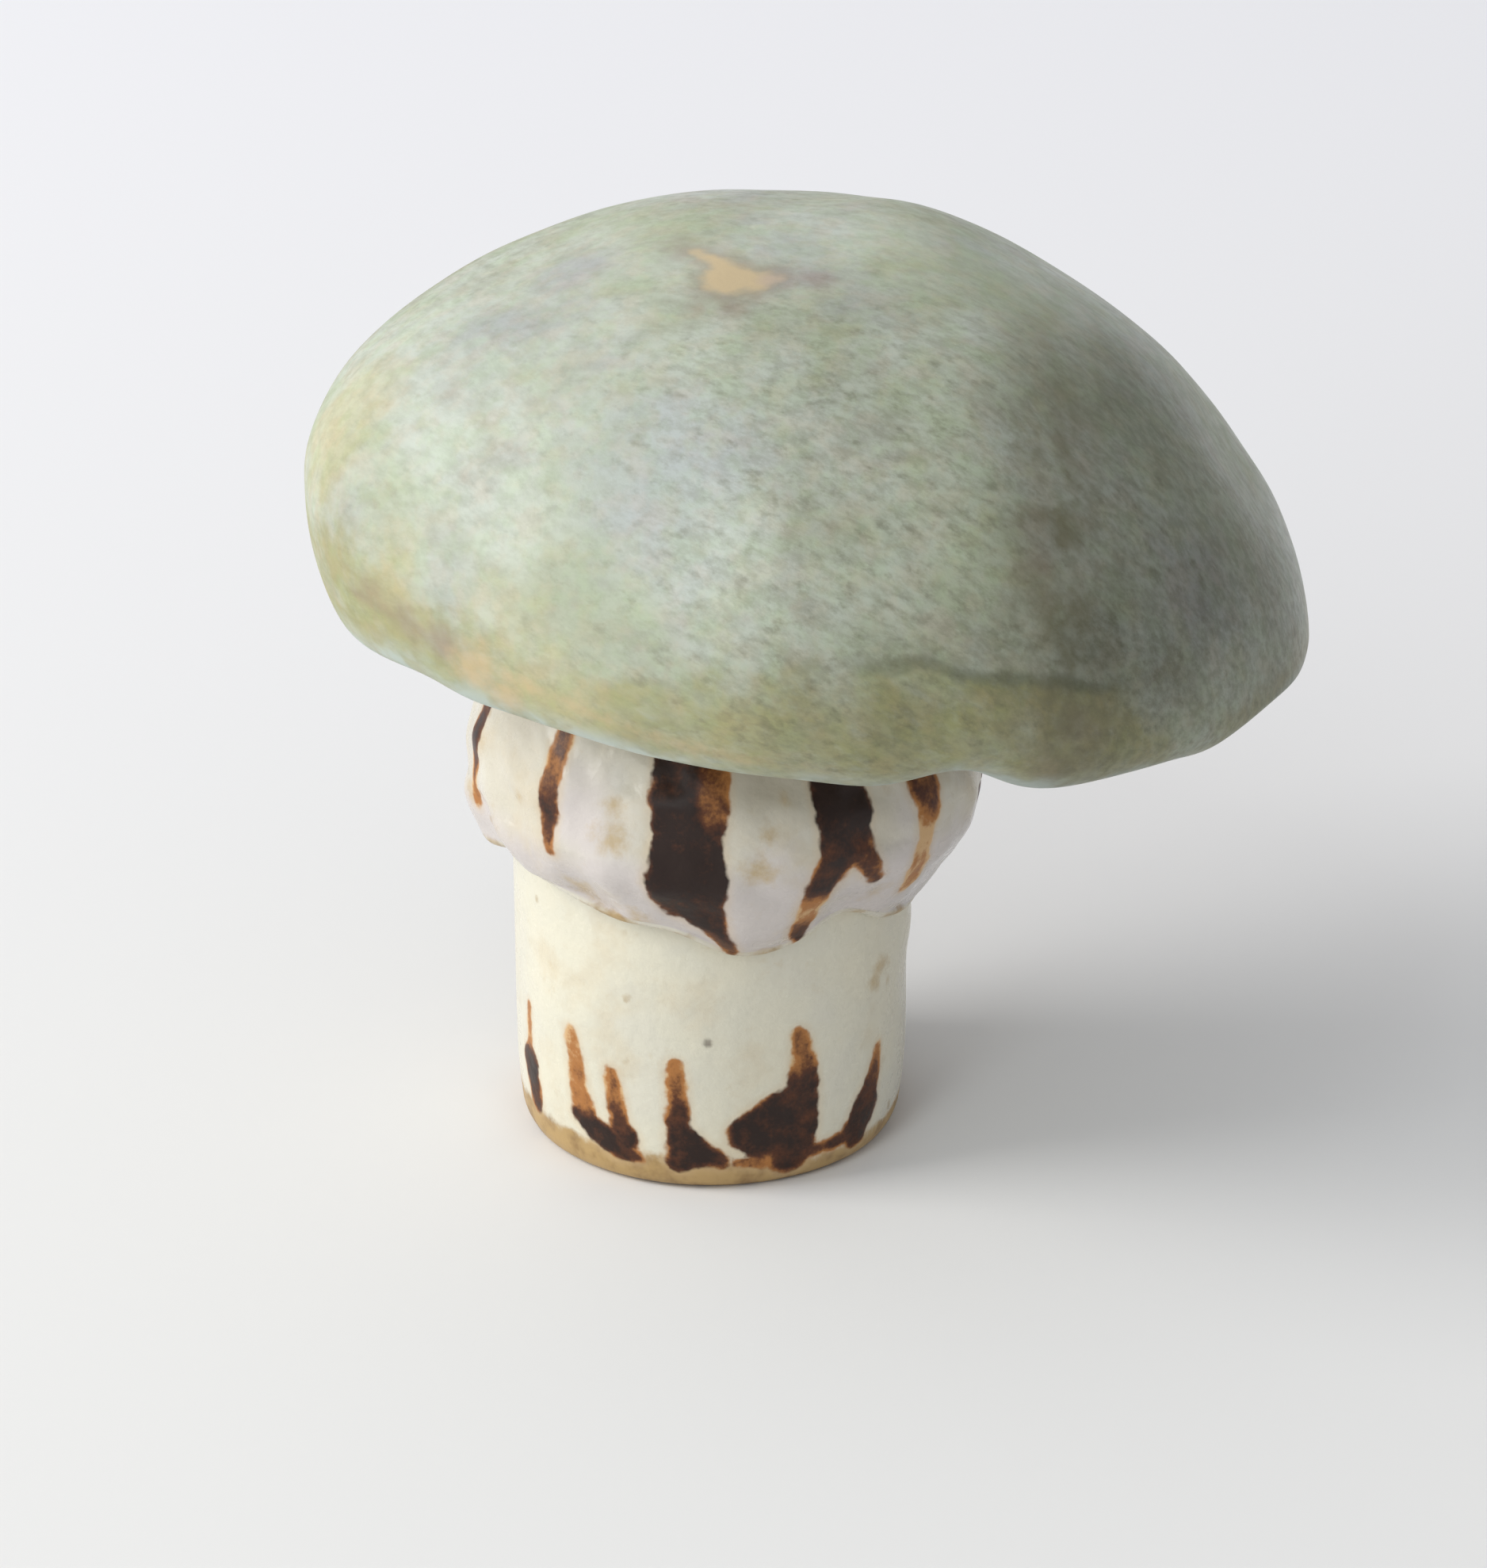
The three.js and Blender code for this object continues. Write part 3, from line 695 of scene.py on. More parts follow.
def maths(tree, operation, *values):
    """A Math node's result."""
    return put(tree, "Math", dict(enumerate(values)), operation=operation).outputs[0]


def add(tree, a, b):
    """The sum of a and b."""
    return maths(tree, "ADD", a, b)


def times(tree, a, b):
    """The product of a and b."""
    return maths(tree, "MULTIPLY", a, b)


def spread(tree, grain, amount):
    """A noise of 0 to 1 turned into one of half the amount either way of 0."""
    return maths(tree, "MULTIPLY_ADD", grain, amount, -amount / 2)


def mixed(tree, factor, a, b, blend="MIX"):
    """Colour a turned into colour b by the factor."""
    a, b = (v if isinstance(v, bpy.types.NodeSocket) else (*v, 1) for v in (a, b))
    inputs = {0: factor, 6: a, 7: b}
    return put(tree, "Mix", inputs, data_type="RGBA", blend_type=blend).outputs[2]


def step(tree, value, low, high, start=0.0, end=1.0):
    """A smooth step from start to end as the value goes from low to high."""
    inputs = {"Value": value, "From Min": low, "From Max": high, "To Min": start, "To Max": end}
    return put(tree, "MapRange", inputs, interpolation_type="SMOOTHSTEP").outputs[0]


def noise(tree, point, per_mm, detail=2.0, rough=0.5):
    """Noise of 0 to 1, with that many features to a millimetre."""
    inputs = {"Vector": point, "Scale": per_mm, "Detail": detail, "Roughness": rough}
    return put(tree, "TexNoise", inputs).outputs["Fac"]


def field(tree, name):
    """One of the mesh's own fields."""
    return put(tree, "Attribute", attribute_name=name).outputs["Fac"]


def tinted(tree, body, name, grain, amount, low, high, most, tint):
    """The body tinted, at most so much, as a field made uneven by the grain goes from low to high."""
    here = add(tree, field(tree, name), spread(tree, grain, amount))
    return mixed(tree, step(tree, here, low, high, 0, most), body, tint)


def millimetres(tree, shift=(0, 0, 0), turned=(0, 0, 0), stretch=(1, 1, 1)):
    """Object coordinates in millimetres, shifted, and stretched along axes turned in degrees."""
    inputs = {
        "Vector": put(tree, "TexCoord").outputs["Object"],
        "Location": tuple(MM * k for k in shift),
        "Rotation": tuple(math.radians(k) for k in turned),
        "Scale": tuple(MM * k for k in stretch),
    }
    return put(tree, "Mapping", inputs, vector_type="TEXTURE").outputs[0]


def new_group(name, inputs, outputs):
    """An empty shader group with its named inputs and outputs, and its two end nodes' sockets."""
    group = bpy.data.node_groups.new(name, "ShaderNodeTree")
    for key, value in inputs.items():
        kind = "NodeSocketVector" if value is None else "NodeSocketFloat"
        socket = group.interface.new_socket(key, in_out="INPUT", socket_type=kind)
        if value is not None:
            socket.default_value = value
    for key, kind in outputs.items():
        group.interface.new_socket(key, in_out="OUTPUT", socket_type=kind)
    return group, group.nodes.new("NodeGroupInput").outputs, group.nodes.new("NodeGroupOutput").inputs


def new_material(name):
    """A node material; returns it, its tree and its Principled shader."""
    material = bpy.data.materials.new(name)
    material.use_nodes = True
    tree = material.node_tree
    return material, tree, tree.nodes["Principled BSDF"]


def finish_shader(tree, shader, colours, roughness, height, depth):
    """Links colour and roughness, and the height through a Bump node of that depth in millimetres."""
    tree.links.new(colours, shader.inputs["Base Color"])
    tree.links.new(roughness, shader.inputs["Roughness"])
    bump = put(tree, "Bump", {"Height": height, "Distance": depth * MM, "Strength": 1.0})
    tree.links.new(bump.outputs["Normal"], shader.inputs["Normal"])


# Effects that more than one glaze uses

def pigment_group(colours):
    """Brushed iron pigment: a ragged edge, a dark core, and amber where it is thin."""
    group, given, out = new_group(
        "Brushed Pigment",
        {"Point": None, "Depth": 0.0, "Thin": 0.0},
        {"Mask": "NodeSocketFloat", "Colour": "NodeSocketColor", "Thickness": "NodeSocketFloat"},
    )
    point = given["Point"]
    coarse = spread(group, noise(group, point, 0.6, 2), 1.1)
    fine = spread(group, noise(group, point, 1.8, 2), 0.2)
    depth = add(group, given["Depth"], add(group, coarse, fine))
    mask = step(group, depth, -0.18, 0.22)
    patch = maths(group, "MULTIPLY_ADD", noise(group, point, 0.5, 3, 0.6), 2.4, -1.15)
    grain = spread(group, noise(group, point, 3.2, 2, 0.6), 0.9)
    uneven = add(group, times(group, patch, 0.6), times(group, grain, 0.5))
    rim = step(group, noise(group, point, 0.28, 2), 0.38, 0.62, 0.25, 0.9)
    edge = times(group, step(group, depth, 0.0, 0.7, 0.8, 0.0), rim)
    thin = add(group, add(group, given["Thin"], uneven), edge)
    colour_here = mixed(group, step(group, thin, 0.1, 0.7), colours.umber, colours.rust)
    colour_here = mixed(group, step(group, thin, 0.55, 1.15), colour_here, colours.amber)
    colour_here = mixed(group, step(group, thin, 1.15, 1.6), colour_here, (0.62, 0.40, 0.20))
    group.links.new(mask, out["Mask"])
    group.links.new(colour_here, out["Colour"])
    group.links.new(times(group, mask, step(group, thin, 1.2, 0.1)), out["Thickness"])
    return group


def freckle_group():
    """Small rust freckles: round cells of a Voronoi pattern, kept only here and there."""
    group, given, out = new_group(
        "Iron Freckles", {"Point": None, "Amount": 0.5}, {"Mask": "NodeSocketFloat"}
    )
    point = given["Point"]
    cells = put(group, "TexVoronoi", {"Vector": point, "Scale": 0.26, "Randomness": 1.0})
    ragged = spread(group, noise(group, point, 1.6, 2), 0.16)
    near = add(group, cells.outputs["Distance"], ragged)
    chosen = put(group, "SeparateColor", {0: cells.outputs["Color"]}).outputs[0]
    kept = step(group, chosen, maths(group, "SUBTRACT", 1.0, given["Amount"]), 1.0)
    group.links.new(times(group, step(group, near, 0.16, 0.06), kept), out["Mask"])
    return group


# The glazes

def body_glaze(name, colours, base, pale, warm_edge):
    """The white glaze of skirt and stem: soft clouds, freckles, brushed pigment and warm edges."""
    groups = bpy.data.node_groups
    pigment = groups.get("Brushed Pigment") or pigment_group(colours)
    freckles = groups.get("Iron Freckles") or freckle_group()
    material, tree, shader = new_material(name)
    point = millimetres(tree)

    # Clouds, washes, stains and freckles.
    clouds = step(tree, noise(tree, point, 0.09, 3, 0.55), 0.35, 0.68)
    body = mixed(tree, clouds, base, pale)
    body = tinted(tree, body, "lilac", clouds, 0.5, 0.1, 0.9, 0.9, (0.59, 0.54, 0.52))
    wash = step(tree, noise(tree, millimetres(tree, (40, 7, 3)), 0.16, 4, 0.6), 0.48, 0.72, 0, 0.4)
    body = mixed(tree, wash, body, (0.60, 0.50, 0.34))
    mottle = noise(tree, point, 0.55, 4, 0.65)
    body = tinted(tree, body, "spots", mottle, 1.8, 0.15, 1.1, 0.75, (0.49, 0.355, 0.17))
    freckled = put(tree, "Group", {"Point": point, "Amount": 0.32}, node_tree=freckles).outputs["Mask"]
    body = mixed(tree, times(tree, freckled, 0.75), body, (0.36, 0.24, 0.09))

    # Bare clay at the edges (on the skirt's lower edge also painted shade under it), the halo round the
    # strokes, pinholes and the strokes.
    bare_edge_and_shade = add(tree, field(tree, "warm"), spread(tree, noise(tree, point, 0.5, 4, 0.6), 1.1))
    bare_edge_and_shade = step(tree, bare_edge_and_shade, 0.3, 0.8)
    tone = step(tree, noise(tree, point, 0.4, 3, 0.6), 0.4, 0.8)
    body = mixed(tree, bare_edge_and_shade, body, mixed(tree, tone, warm_edge, (0.24, 0.14, 0.055)))
    halo = step(tree, field(tree, "stripe"), -0.9, 0.2, 0, 0.35)
    body = mixed(tree, halo, body, (0.60, 0.44, 0.26))
    pit = step(tree, field(tree, "pit"), 0.1, 0.9, 0, 0.75)
    body = mixed(tree, pit, body, (0.16, 0.13, 0.10))
    inputs = {"Point": point, "Depth": field(tree, "stripe"), "Thin": field(tree, "thin")}
    stroke = put(tree, "Group", inputs, node_tree=pigment).outputs
    body = mixed(tree, stroke["Mask"], body, stroke["Colour"])

    # Gloss and the glaze's soft ripple.
    dull = maths(tree, "MAXIMUM", times(tree, bare_edge_and_shade, 0.3), times(tree, stroke["Mask"], 0.2))
    rough = add(tree, step(tree, noise(tree, point, 0.5, 3), 0.3, 0.7, 0.22, 0.36), dull)
    ripple = times(tree, noise(tree, point, 0.35, 2), 0.5)
    peel = times(tree, noise(tree, point, 1.6, 2), 0.1)
    height = add(tree, add(tree, ripple, peel), times(tree, stroke["Thickness"], 0.10))
    height = maths(tree, "SUBTRACT", height, times(tree, pit, 0.4))
    finish_shader(tree, shader, body, rough, height, 0.35)
    coat = maths(tree, "MULTIPLY_ADD", stroke["Mask"], -0.2, 0.25)
    tree.links.new(coat, shader.inputs["Coat Weight"])
    shader.inputs["Specular IOR Level"].default_value = 0.3
    shader.inputs["Coat Roughness"].default_value = 0.22
    return material


def cap_glaze(colours):
    """The cap's satin celadon: mottled streaks, stains, bare crown, pale lip, a wavy dark line and painted
    shade on the right.
    """
    material, tree, shader = new_material("cap celadon glaze")
    point = millimetres(tree)
    streaky = millimetres(tree, turned=STREAK_TURN, stretch=(2.0, 1, 1))
    left_streaky = millimetres(tree, turned=STREAK_TURN_LEFT, stretch=(2.4, 1, 1))
    cells = noise(tree, millimetres(tree, (31, 5, 77)), 0.20, 3, 0.6)
    sage = noise(tree, millimetres(tree, (5, 61, 12)), 0.30, 3, 0.6)

    # Soft clouds and cool stains.
    clouds = step(tree, noise(tree, point, 0.05, 3, 0.6), 0.36, 0.62)
    body = mixed(tree, clouds, colours.celadon, colours.mist)
    body = mixed(tree, step(tree, cells, 0.48, 0.70, 0, 0.4), body, colours.taupe)
    body = mixed(tree, step(tree, sage, 0.50, 0.72, 0, 0.3), body, (0.37, 0.42, 0.27))
    body = tinted(tree, body, "mauve", sage, 0.8, 0.1, 0.9, 0.7, (0.37, 0.37, 0.40))
    body = tinted(tree, body, "blue", cells, 0.8, 0.1, 0.9, 0.7, (0.46, 0.50, 0.515))

    # The olive band over the lip: crisp along the front's line, soft elsewhere.
    band, line_here = field(tree, "band"), field(tree, "line")
    crisp = add(tree, band, spread(tree, noise(tree, point, 0.45, 3), 1.6))
    wobbly = add(tree, band, spread(tree, noise(tree, point, 0.16, 3), 6.0))
    soft = step(tree, add(tree, wobbly, spread(tree, cells, 8.0)), -2.0, 3.0)
    low = times(tree, soft, maths(tree, "SUBTRACT", 1.0, line_here))
    low = maths(tree, "MULTIPLY_ADD", step(tree, crisp, -0.6, 0.8), line_here, low)
    pool = step(tree, noise(tree, streaky, 0.3, 3, 0.6), 0.3, 0.62, 0.55, 0.95)
    body = mixed(tree, times(tree, low, pool), body, colours.moss)
    body = tinted(tree, body, "ochre", cells, 0.8, 0.15, 0.9, 0.7, (0.52, 0.49, 0.28))

    # Patches of a pinker and a greener hue.
    hues = ((3, 44, 8), 0.42, (1.05, 0.98, 0.95)), ((71, 4, 18), 0.36, (0.965, 1.01, 0.92))
    for shift, per_mm, hue in hues:
        patch = noise(tree, millimetres(tree, shift), per_mm, 3, 0.6)
        body = mixed(tree, step(tree, patch, 0.42, 0.66), body, hue, "MULTIPLY")

    # Streaks, dark and light, that run one way on the left flank and another on the rest.
    side, crowd = field(tree, "side"), field(tree, "crowd")
    left = noise(tree, left_streaky, 0.95, 5, 0.66)
    right = noise(tree, streaky, 1.15, 5, 0.68)
    grain = maths(tree, "MULTIPLY_ADD", maths(tree, "SUBTRACT", right, left), side, left)
    dark = times(tree, step(tree, grain, 0.36, 0.68), maths(tree, "MULTIPLY_ADD", crowd, 0.42, 0.1))
    body = mixed(tree, dark, body, colours.olive)
    light = times(tree, noise(tree, left_streaky, 0.7, 4, 0.65), maths(tree, "SUBTRACT", 1.0, side))
    light = maths(tree, "MULTIPLY_ADD", noise(tree, streaky, 0.8, 4, 0.65), side, light)
    light = times(tree, step(tree, light, 0.48, 0.74, 0, 0.24), add(tree, crowd, 0.15))
    body = mixed(tree, light, body, (0.60, 0.66, 0.60))
    specks = noise(tree, millimetres(tree, (9, 9, 9), STREAK_TURN, (1.6, 1, 1)), 0.9, 3, 0.6)
    specks = times(tree, step(tree, specks, 0.50, 0.76, 0, 0.7), crowd)
    body = mixed(tree, specks, body, (0.13, 0.125, 0.075))
    # Darker olive just past the fold: partly the glaze's olive, partly painted shade where the cap turns
    # away at the fold.
    fold = times(tree, field(tree, "fold"), step(tree, sage, 0.35, 0.65, 0.35, 0.75))
    body = mixed(tree, fold, body, (0.18, 0.16, 0.085))

    # Warm stains, and the crown's bare patch inside its brown rim.
    body = tinted(tree, body, "umber", cells, 0.5, 0.12, 0.75, 0.7, (0.28, 0.20, 0.15))
    mottle = noise(tree, point, 0.35, 4, 0.65)
    body = tinted(tree, body, "peach", mottle, 1.2, 0.2, 0.9, 0.6, (0.64, 0.46, 0.26))
    bare = add(tree, field(tree, "bare"), spread(tree, noise(tree, point, 0.6, 3), 1.8))
    body = mixed(tree, step(tree, bare, -2.3, -0.1, 0, 0.6), body, (0.33, 0.27, 0.20))
    mauve = add(tree, field(tree, "mauve"), spread(tree, sage, 0.8))
    clay = mixed(tree, step(tree, mauve, 0.4, 1.1), colours.bare, (0.52, 0.41, 0.31))
    body = mixed(tree, step(tree, bare, -0.7, 0.8), body, clay)

    # The wavy dark line, the pale lip, the painted shade on the right end and the plain inner face.
    line = times(tree, step(tree, maths(tree, "ABSOLUTE", crisp), 0.9, 0.1, 0, 0.5), line_here)
    body = mixed(tree, line, body, (0.10, 0.11, 0.06))
    lip = step(tree, maths(tree, "ABSOLUTE", field(tree, "lip")), 2.6, 0.4)
    lip = times(tree, lip, step(tree, cells, 0.4, 0.6, 0.25, 0.85))
    body = mixed(tree, lip, body, (0.52, 0.60, 0.56))
    # Painted shade: the body is darkened towards near black by the shade field, broken up by the streaks.
    shade = times(tree, field(tree, "shade"), step(tree, grain, 0.34, 0.66, 0.94, 1.05))
    body = mixed(tree, shade, body, (0.02, 0.02, 0.0))
    under = mixed(tree, noise(tree, point, 0.12, 3), (0.52, 0.52, 0.40), (0.62, 0.59, 0.48))
    body = mixed(tree, step(tree, field(tree, "over_lip"), -1.5, -4.5), body, under)

    rough = add(tree, step(tree, grain, 0.35, 0.65, 0.32, 0.42), field(tree, "matt"))
    height = add(tree, times(tree, grain, 0.25), times(tree, noise(tree, point, 2.6, 3), 0.12))
    finish_shader(tree, shader, body, rough, height, 0.12)
    return material


def cap_fields(size, grid, outer_rows):
    """What the cap's glaze reads at each point: heights over the lip, stains, streaks and painted shade."""
    x, y, z = grid[..., 0], grid[..., 1], grid[..., 2]
    row = np.arange(len(grid))[:, None]
    on_outside = (row < outer_rows) * 1.0
    at = cap_section(size, azimuths(grid))
    over_lip = np.where(row < outer_rows, z - at.lip, -(row - outer_rows) * 0.25)
    around = np.degrees(np.arctan2(y, x - size.middle_x))
    band = np.interp(around, *zip(*BAND_EDGE), period=360) - over_lip
    bare = [
        depth_in(x, y, x0, y0, w0, x1, y1, w1)[0]
        for (x0, y0, w0), (x1, y1, w1) in zip(CROWN_PATCH, CROWN_PATCH[1:])
    ]
    front = smooth(-y, 0, 26)
    # The dark line fades in from x = 9 to 18 and out from 31 to 37, on the front alone.
    line = smooth(x, 9, 18) * smooth(-x, -37, -31) * smooth(-y, 0, 20) * on_outside
    # Painted shade darkens the glaze where the right end faces the front; in one spot low down on it the
    # painted shade is taken off again.
    rim = smooth(x, 22, 40)
    facing = smooth(-y, -14 * rim, 26 - 8 * rim)
    shade = facing * np.interp(x, *zip(*SHADE_ALONG)) + stain(grid, SHADE_STAINS)
    shade = shade - 0.14 * bell(np.hypot(x - 40, z - 50), 6) * front
    # Thin streaks of peach and umber that follow the lip round the left.
    streak = bell(over_lip - np.interp(around, *zip(*STREAK_EDGE)), 1.2) * on_outside
    peach_streak = 0.5 * streak * smooth(around, -145, -134) * smooth(-around, 82, 95)
    umber_streak = 0.45 * streak * smooth(around, -162, -152) * smooth(-around, 128, 138)
    crowded = np.maximum(front * smooth(x, -25, 12), 0.7 * smooth(y, -6, 16))
    outside_only = {
        "blue": stain(grid, BLUE_STAINS),
        "mauve": stain(grid, MAUVE_STAINS),
        "ochre": stain(grid, OCHRE_STAINS),
        "peach": np.maximum(stain(grid, PEACH_STAINS), peach_streak),
        "umber": np.maximum(stain(grid, UMBER_STAINS), umber_streak),
        "shade": shade * (1 - 0.12 * line * smooth(band, 0, 2)),
        "matt": 0.22 * smooth(-x, 6, 20),
        # Painted shade and olive just past the fold, on the front.
        "fold": front * bell(x - 29, 4),
        "crowd": 0.2 + 0.45 * crowded,
    }
    return {name: values * on_outside for name, values in outside_only.items()} | {
        "over_lip": over_lip,
        "lip": over_lip / (1 + 0.7 * bell(turn(around, -147), 24)),
        "line": line,
        "side": smooth(x, -20, 0),
        "bare": np.where(row < outer_rows, np.max(bare, axis=0), FAR_OUT),
        "band": np.where(row < outer_rows, band, FAR_OUT),
    }


# Operators

class MUSHROOM_OT_cap(bpy.types.Operator):
    """Make the hollow cap from its dome, edge, lip and inner face"""

    bl_idname = "mushroom.cap"
    bl_label = "Cap"

    def execute(self, context):
        size = in_mm(context.scene.mushroom_cap)
        grid, outer_rows = cap_grid(size)
        fields = cap_fields(size, grid, outer_rows)
        grid = raised(grid, cap_relief(grid, outer_rows))
        material = cap_glaze(context.scene.mushroom_colours)
        add_piece("cap_clay", grid, fields, True, "cap", material)
        return {"FINISHED"}


class MUSHROOM_OT_stem(bpy.types.Operator):
    """Make the tubular stem and its foot"""

    bl_idname = "mushroom.stem"
    bl_label = "Stem"

    def execute(self, context):
        scene = context.scene
        size, cap = in_mm(scene.mushroom_stem), in_mm(scene.mushroom_cap)
        grid = stem_grid(size, cap)
        azimuth = azimuths(grid)
        x, y, z = grid[..., 0], grid[..., 1], grid[..., 2]
        outer = np.hypot(x, y) > size.bore + 1.2  # all but the bore's wall
        depth, thin = stripe_fields(azimuth, size.radius, z, FOOT_STRIPES)
        upper, upper_thin = stripe_fields(azimuth, SKIRT_RADIUS, z, SKIRT_STRIPES)
        under_cap = z > STRIPES_RUN_ON
        # The wavy upper edge of the bare clay round the foot, highest at the left.
        band = 3.3 + 1.5 * bell(turn(azimuth, -168), 38) + 0.5 * np.sin(np.radians(azimuth * 3 + 40))
        pits = [(at, height, width, 1) for at, height, width in PINHOLES]
        fields = {
            "stripe": np.where(outer, np.where(under_cap, upper, depth), FAR_OUT),
            "thin": np.where(under_cap, upper_thin, thin) + 0.12,
            "warm": smooth(band - z, -1.0, 2.0),
            "spots": spots_at(azimuth, size.radius, z, STEM_SPOTS) * outer,
            "pit": spots_at(azimuth, size.radius, z, pits) * outer,
        }
        bumps = 0.12 * lumps(grid, 17, 8) + spots_at(azimuth, size.radius, z, STEM_BUMPS)
        grid = raised(grid, np.where((z > 0.5) & outer, bumps, 0))
        colours = scene.mushroom_colours
        pale = (0.68, 0.655, 0.54)
        material = body_glaze("stem cream glaze", colours, colours.cream, pale, colours.tan)
        add_piece("stem_clay", grid, fields, False, "stem", material)
        return {"FINISHED"}


class MUSHROOM_OT_skirt(bpy.types.Operator):
    """Make the skirt draped round the top of the stem"""

    bl_idname = "mushroom.skirt"
    bl_label = "Skirt"

    def execute(self, context):
        scene = context.scene
        size, stem = in_mm(scene.mushroom_skirt), in_mm(scene.mushroom_stem)
        grid, outer_rows = skirt_grid(size, stem)
        azimuth = azimuths(grid)
        z = grid[..., 2]
        row = np.arange(len(grid))[:, None]
        outer = row < outer_rows
        depth, thin = stripe_fields(azimuth, SKIRT_RADIUS, z, SKIRT_STRIPES)
        near_edge = smooth(stations(1, azimuth) + 1.8 - z, 0, 1.6) * (row < outer_rows + 16)
        lilac = np.maximum(smooth(37 - z, 0, 6), spots_at(azimuth, SKIRT_RADIUS, z, LILAC_SPOTS))
        fields = {
            "stripe": np.where(row < outer_rows + 8, depth, FAR_OUT),
            "thin": thin,
            # Tan patches along the lower edge: thin glaze, and painted shade under the rolled edge.
            "warm": (0.46 + 0.3 * lumps(grid, 7, 31)) * near_edge,
            "spots": spots_at(azimuth, SKIRT_RADIUS, z, SKIRT_SPOTS) * outer,
            "lilac": lilac * outer,
        }
        bumps = 0.30 * lumps(grid, 8, 15) + 0.12 * lumps(grid, 3.5, 16)
        grid = raised(grid, np.where(outer, bumps, 0))
        colours = scene.mushroom_colours
        pale, edge = (0.675, 0.645, 0.545), (0.45, 0.32, 0.16)
        material = body_glaze("skirt white glaze", colours, colours.blush, pale, edge)
        add_piece("skirt_clay", grid, fields, False, "skirt", material)
        return {"FINISHED"}


# The stage

VIEW_ELEVATION = math.radians(25)
VIEW_DISTANCE = 0.620
VIEW_TARGET = (2.9 * MM + STEM_AXIS[0] * MM, STEM_AXIS[1] * MM, 31.6 * MM)
FRAME_HEIGHT = 0.1383  # what the camera's long side takes in at the target
SENSOR = 36.0
FLOOR_HALF = 6.0


def aim(obj, target):
    """Turn the object's -Z axis to the target."""
    direction = Vector(target) - obj.location
    obj.rotation_euler = direction.to_track_quat("-Z", "Y").to_euler()


def add_area(name, place, target, width, height, power, tint):
    """A rectangular soft light."""
    data = bpy.data.lights.new(name, "AREA")
    data.shape = "RECTANGLE"
    data.size, data.size_y = width, height
    data.energy = power
    data.color = tint
    light = bpy.data.objects.new(name, data)
    light.location = place
    bpy.context.collection.objects.link(light)
    aim(light, target)


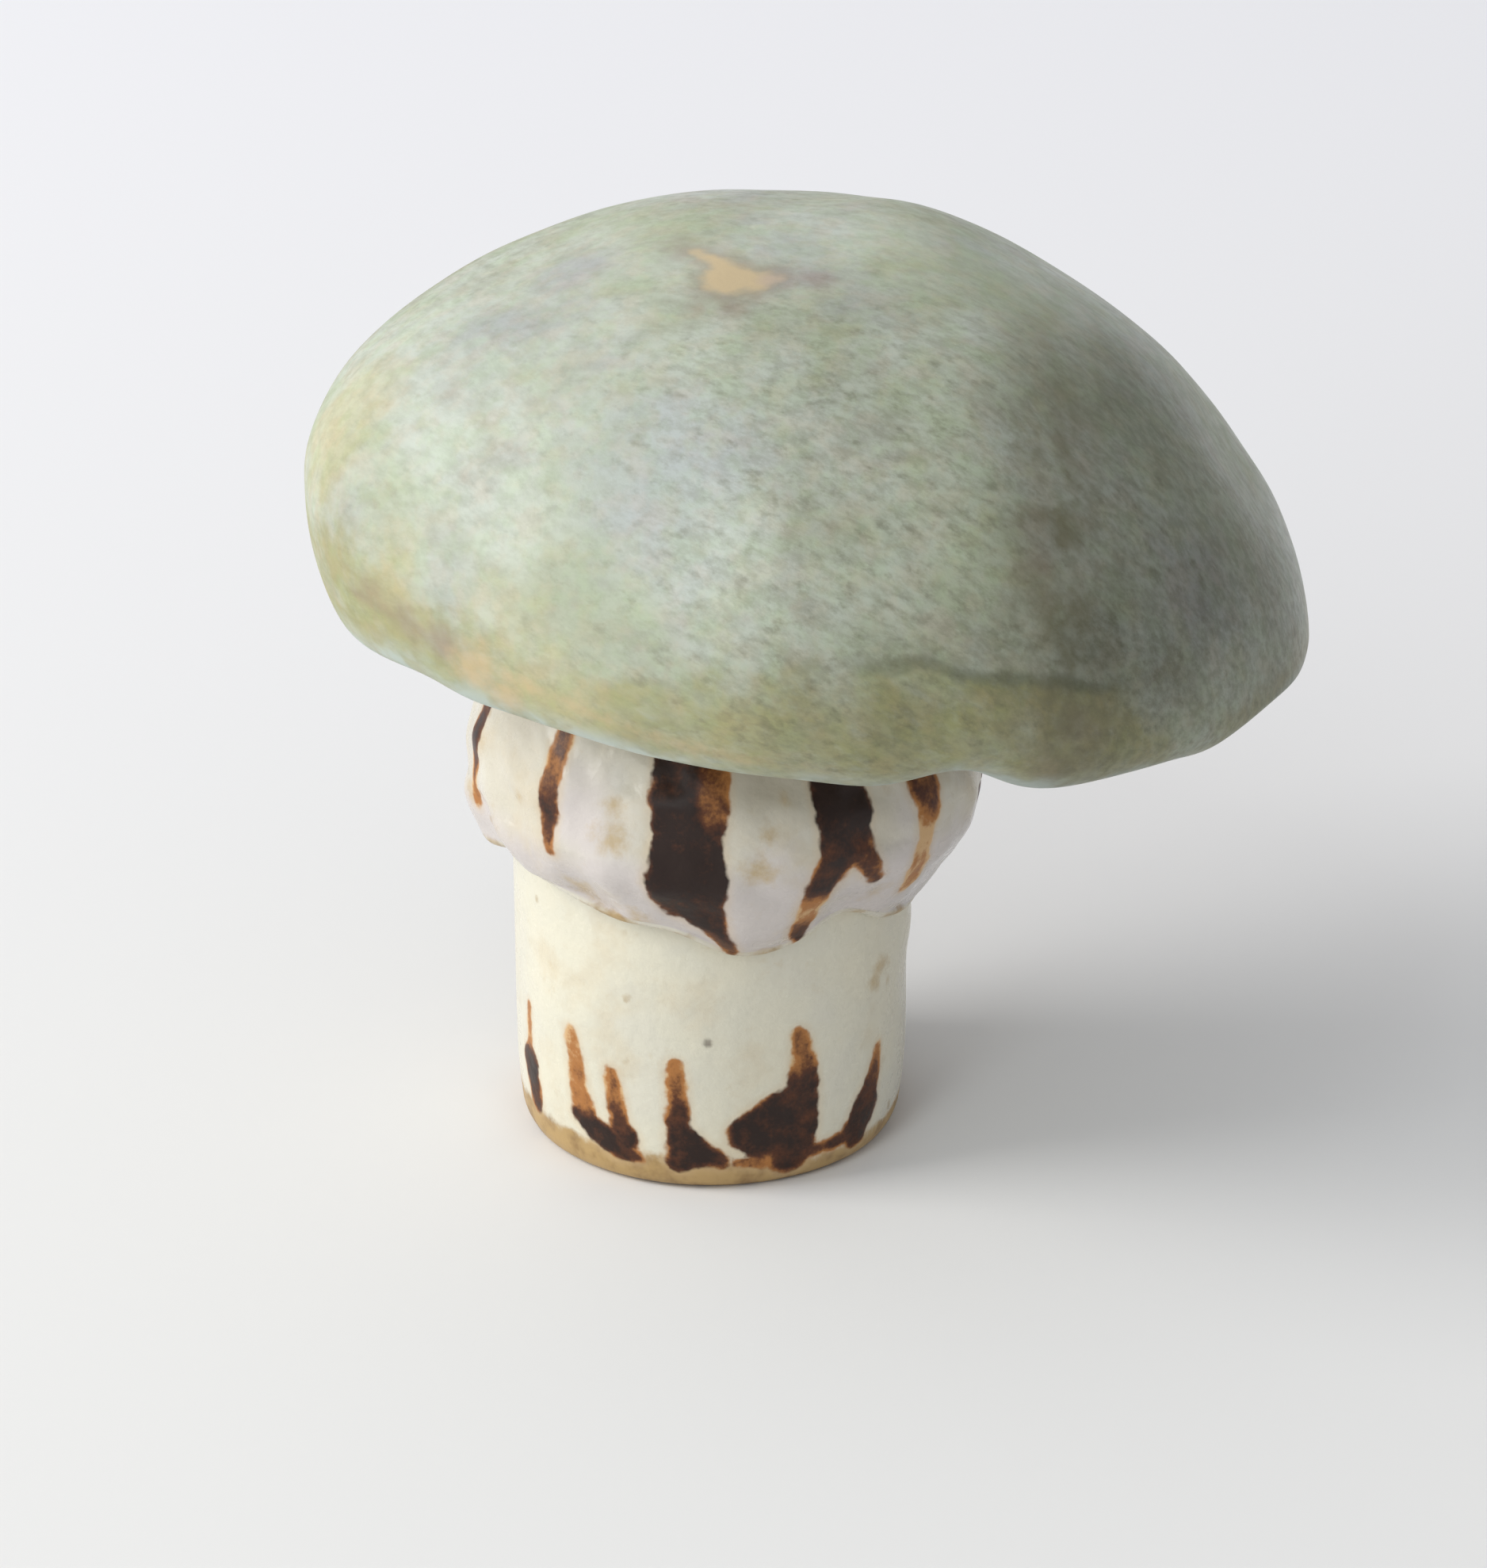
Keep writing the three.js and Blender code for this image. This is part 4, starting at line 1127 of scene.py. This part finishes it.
class MUSHROOM_OT_stage(bpy.types.Operator):
    """Make the floor, the window light, the room's light and the camera"""

    bl_idname = "mushroom.stage"
    bl_label = "Stage"

    def execute(self, context):
        scene = context.scene
        sizes = scene.mushroom_stage
        mesh = bpy.data.meshes.new("floor")
        corners = [(x * FLOOR_HALF, y * FLOOR_HALF, 0) for x, y in ((-1, -1), (1, -1), (1, 1), (-1, 1))]
        mesh.from_pydata(corners, [], [(0, 1, 2, 3)])
        floor = bpy.data.objects.new("floor", mesh)
        context.collection.objects.link(floor)
        material, tree, shader = new_material("floor paper")
        # Painted light: the floor's colour is painted paler and cooler towards the back.
        way = put(tree, "SeparateXYZ", {0: put(tree, "TexCoord").outputs["Object"]}).outputs[1]
        paper = mixed(tree, step(tree, way, -0.15, 0.45), tuple(sizes.floor_colour), (0.93, 0.93, 0.965))
        tree.links.new(paper, shader.inputs["Base Color"])
        shader.inputs["Roughness"].default_value = 0.9
        mesh.materials.append(material)

        middle = (0, 0, 0.04)
        add_area("window", (-0.98, -0.13, 0.62), middle, 0.55, 0.60, sizes.window_power, (1.0, 0.99, 0.97))
        add_area("fill", (-0.38, -0.68, 0.66), middle, 0.26, 0.80, sizes.fill_power, (0.90, 0.97, 1.0))

        world = bpy.data.worlds.new("room")
        world.use_nodes = True
        scene.world = world
        tree = world.node_tree
        way = put(tree, "TexCoord").outputs["Generated"]
        across = put(tree, "SeparateXYZ", {0: way}).outputs[0]
        tone = mixed(tree, step(tree, across, -0.8, 0.9), (1.0, 1.0, 1.0), (0.56, 0.57, 0.60))
        background = tree.nodes["Background"]
        tree.links.new(tone, background.inputs["Color"])
        background.inputs["Strength"].default_value = sizes.sky

        data = bpy.data.cameras.new("camera")
        data.sensor_width = SENSOR
        data.lens = SENSOR * VIEW_DISTANCE / FRAME_HEIGHT
        data.clip_start = 0.01
        camera = bpy.data.objects.new("camera", data)
        back, up = math.cos(VIEW_ELEVATION), math.sin(VIEW_ELEVATION)
        x, y, z = VIEW_TARGET
        camera.location = (x, y - VIEW_DISTANCE * back, z + VIEW_DISTANCE * up)
        camera.rotation_euler = (math.pi / 2 - VIEW_ELEVATION, 0, 0)
        context.collection.objects.link(camera)
        scene.camera = camera
        scene.view_settings.view_transform = "Standard"
        return {"FINISHED"}


class MUSHROOM_PT_panel(bpy.types.Panel):
    """The mushroom's pieces and sizes"""

    bl_idname = "MUSHROOM_PT_panel"
    bl_label = "Mushroom"
    bl_space_type = "VIEW_3D"
    bl_region_type = "UI"
    bl_category = "Mushroom"

    def draw(self, context):
        for group, operator in PARTS:
            box = self.layout.box()
            settings = getattr(context.scene, group)
            for name in settings.bl_rna.properties.keys():
                if name not in ("rna_type", "name"):
                    box.prop(settings, name)
            if operator:
                box.operator(operator)


PARTS = (
    ("mushroom_cap", "mushroom.cap"),
    ("mushroom_stem", "mushroom.stem"),
    ("mushroom_skirt", "mushroom.skirt"),
    ("mushroom_colours", ""),
    ("mushroom_stage", "mushroom.stage"),
)
GROUPS = {
    "mushroom_cap": CapSizes,
    "mushroom_stem": StemSizes,
    "mushroom_skirt": SkirtSizes,
    "mushroom_colours": GlazeColours,
    "mushroom_stage": StageSizes,
}
OPERATORS = (
    MUSHROOM_OT_cap,
    MUSHROOM_OT_stem,
    MUSHROOM_OT_skirt,
    MUSHROOM_OT_stage,
    MUSHROOM_PT_panel,
)


def register():
    """Adds the sizes, the operators and the panel."""
    for name, kind in GROUPS.items():
        bpy.utils.register_class(kind)
        setattr(bpy.types.Scene, name, PointerProperty(type=kind))
    for kind in OPERATORS:
        bpy.utils.register_class(kind)


def unregister():
    """Takes them away again."""
    for kind in reversed(OPERATORS):
        bpy.utils.unregister_class(kind)
    for name, kind in reversed(GROUPS.items()):
        delattr(bpy.types.Scene, name)
        bpy.utils.unregister_class(kind)


def main():
    """Makes the pieces and the stage."""
    register()
    bpy.ops.mushroom.cap()
    bpy.ops.mushroom.stem()
    bpy.ops.mushroom.skirt()
    bpy.ops.mushroom.stage()


if __name__ == "__main__":
    main()
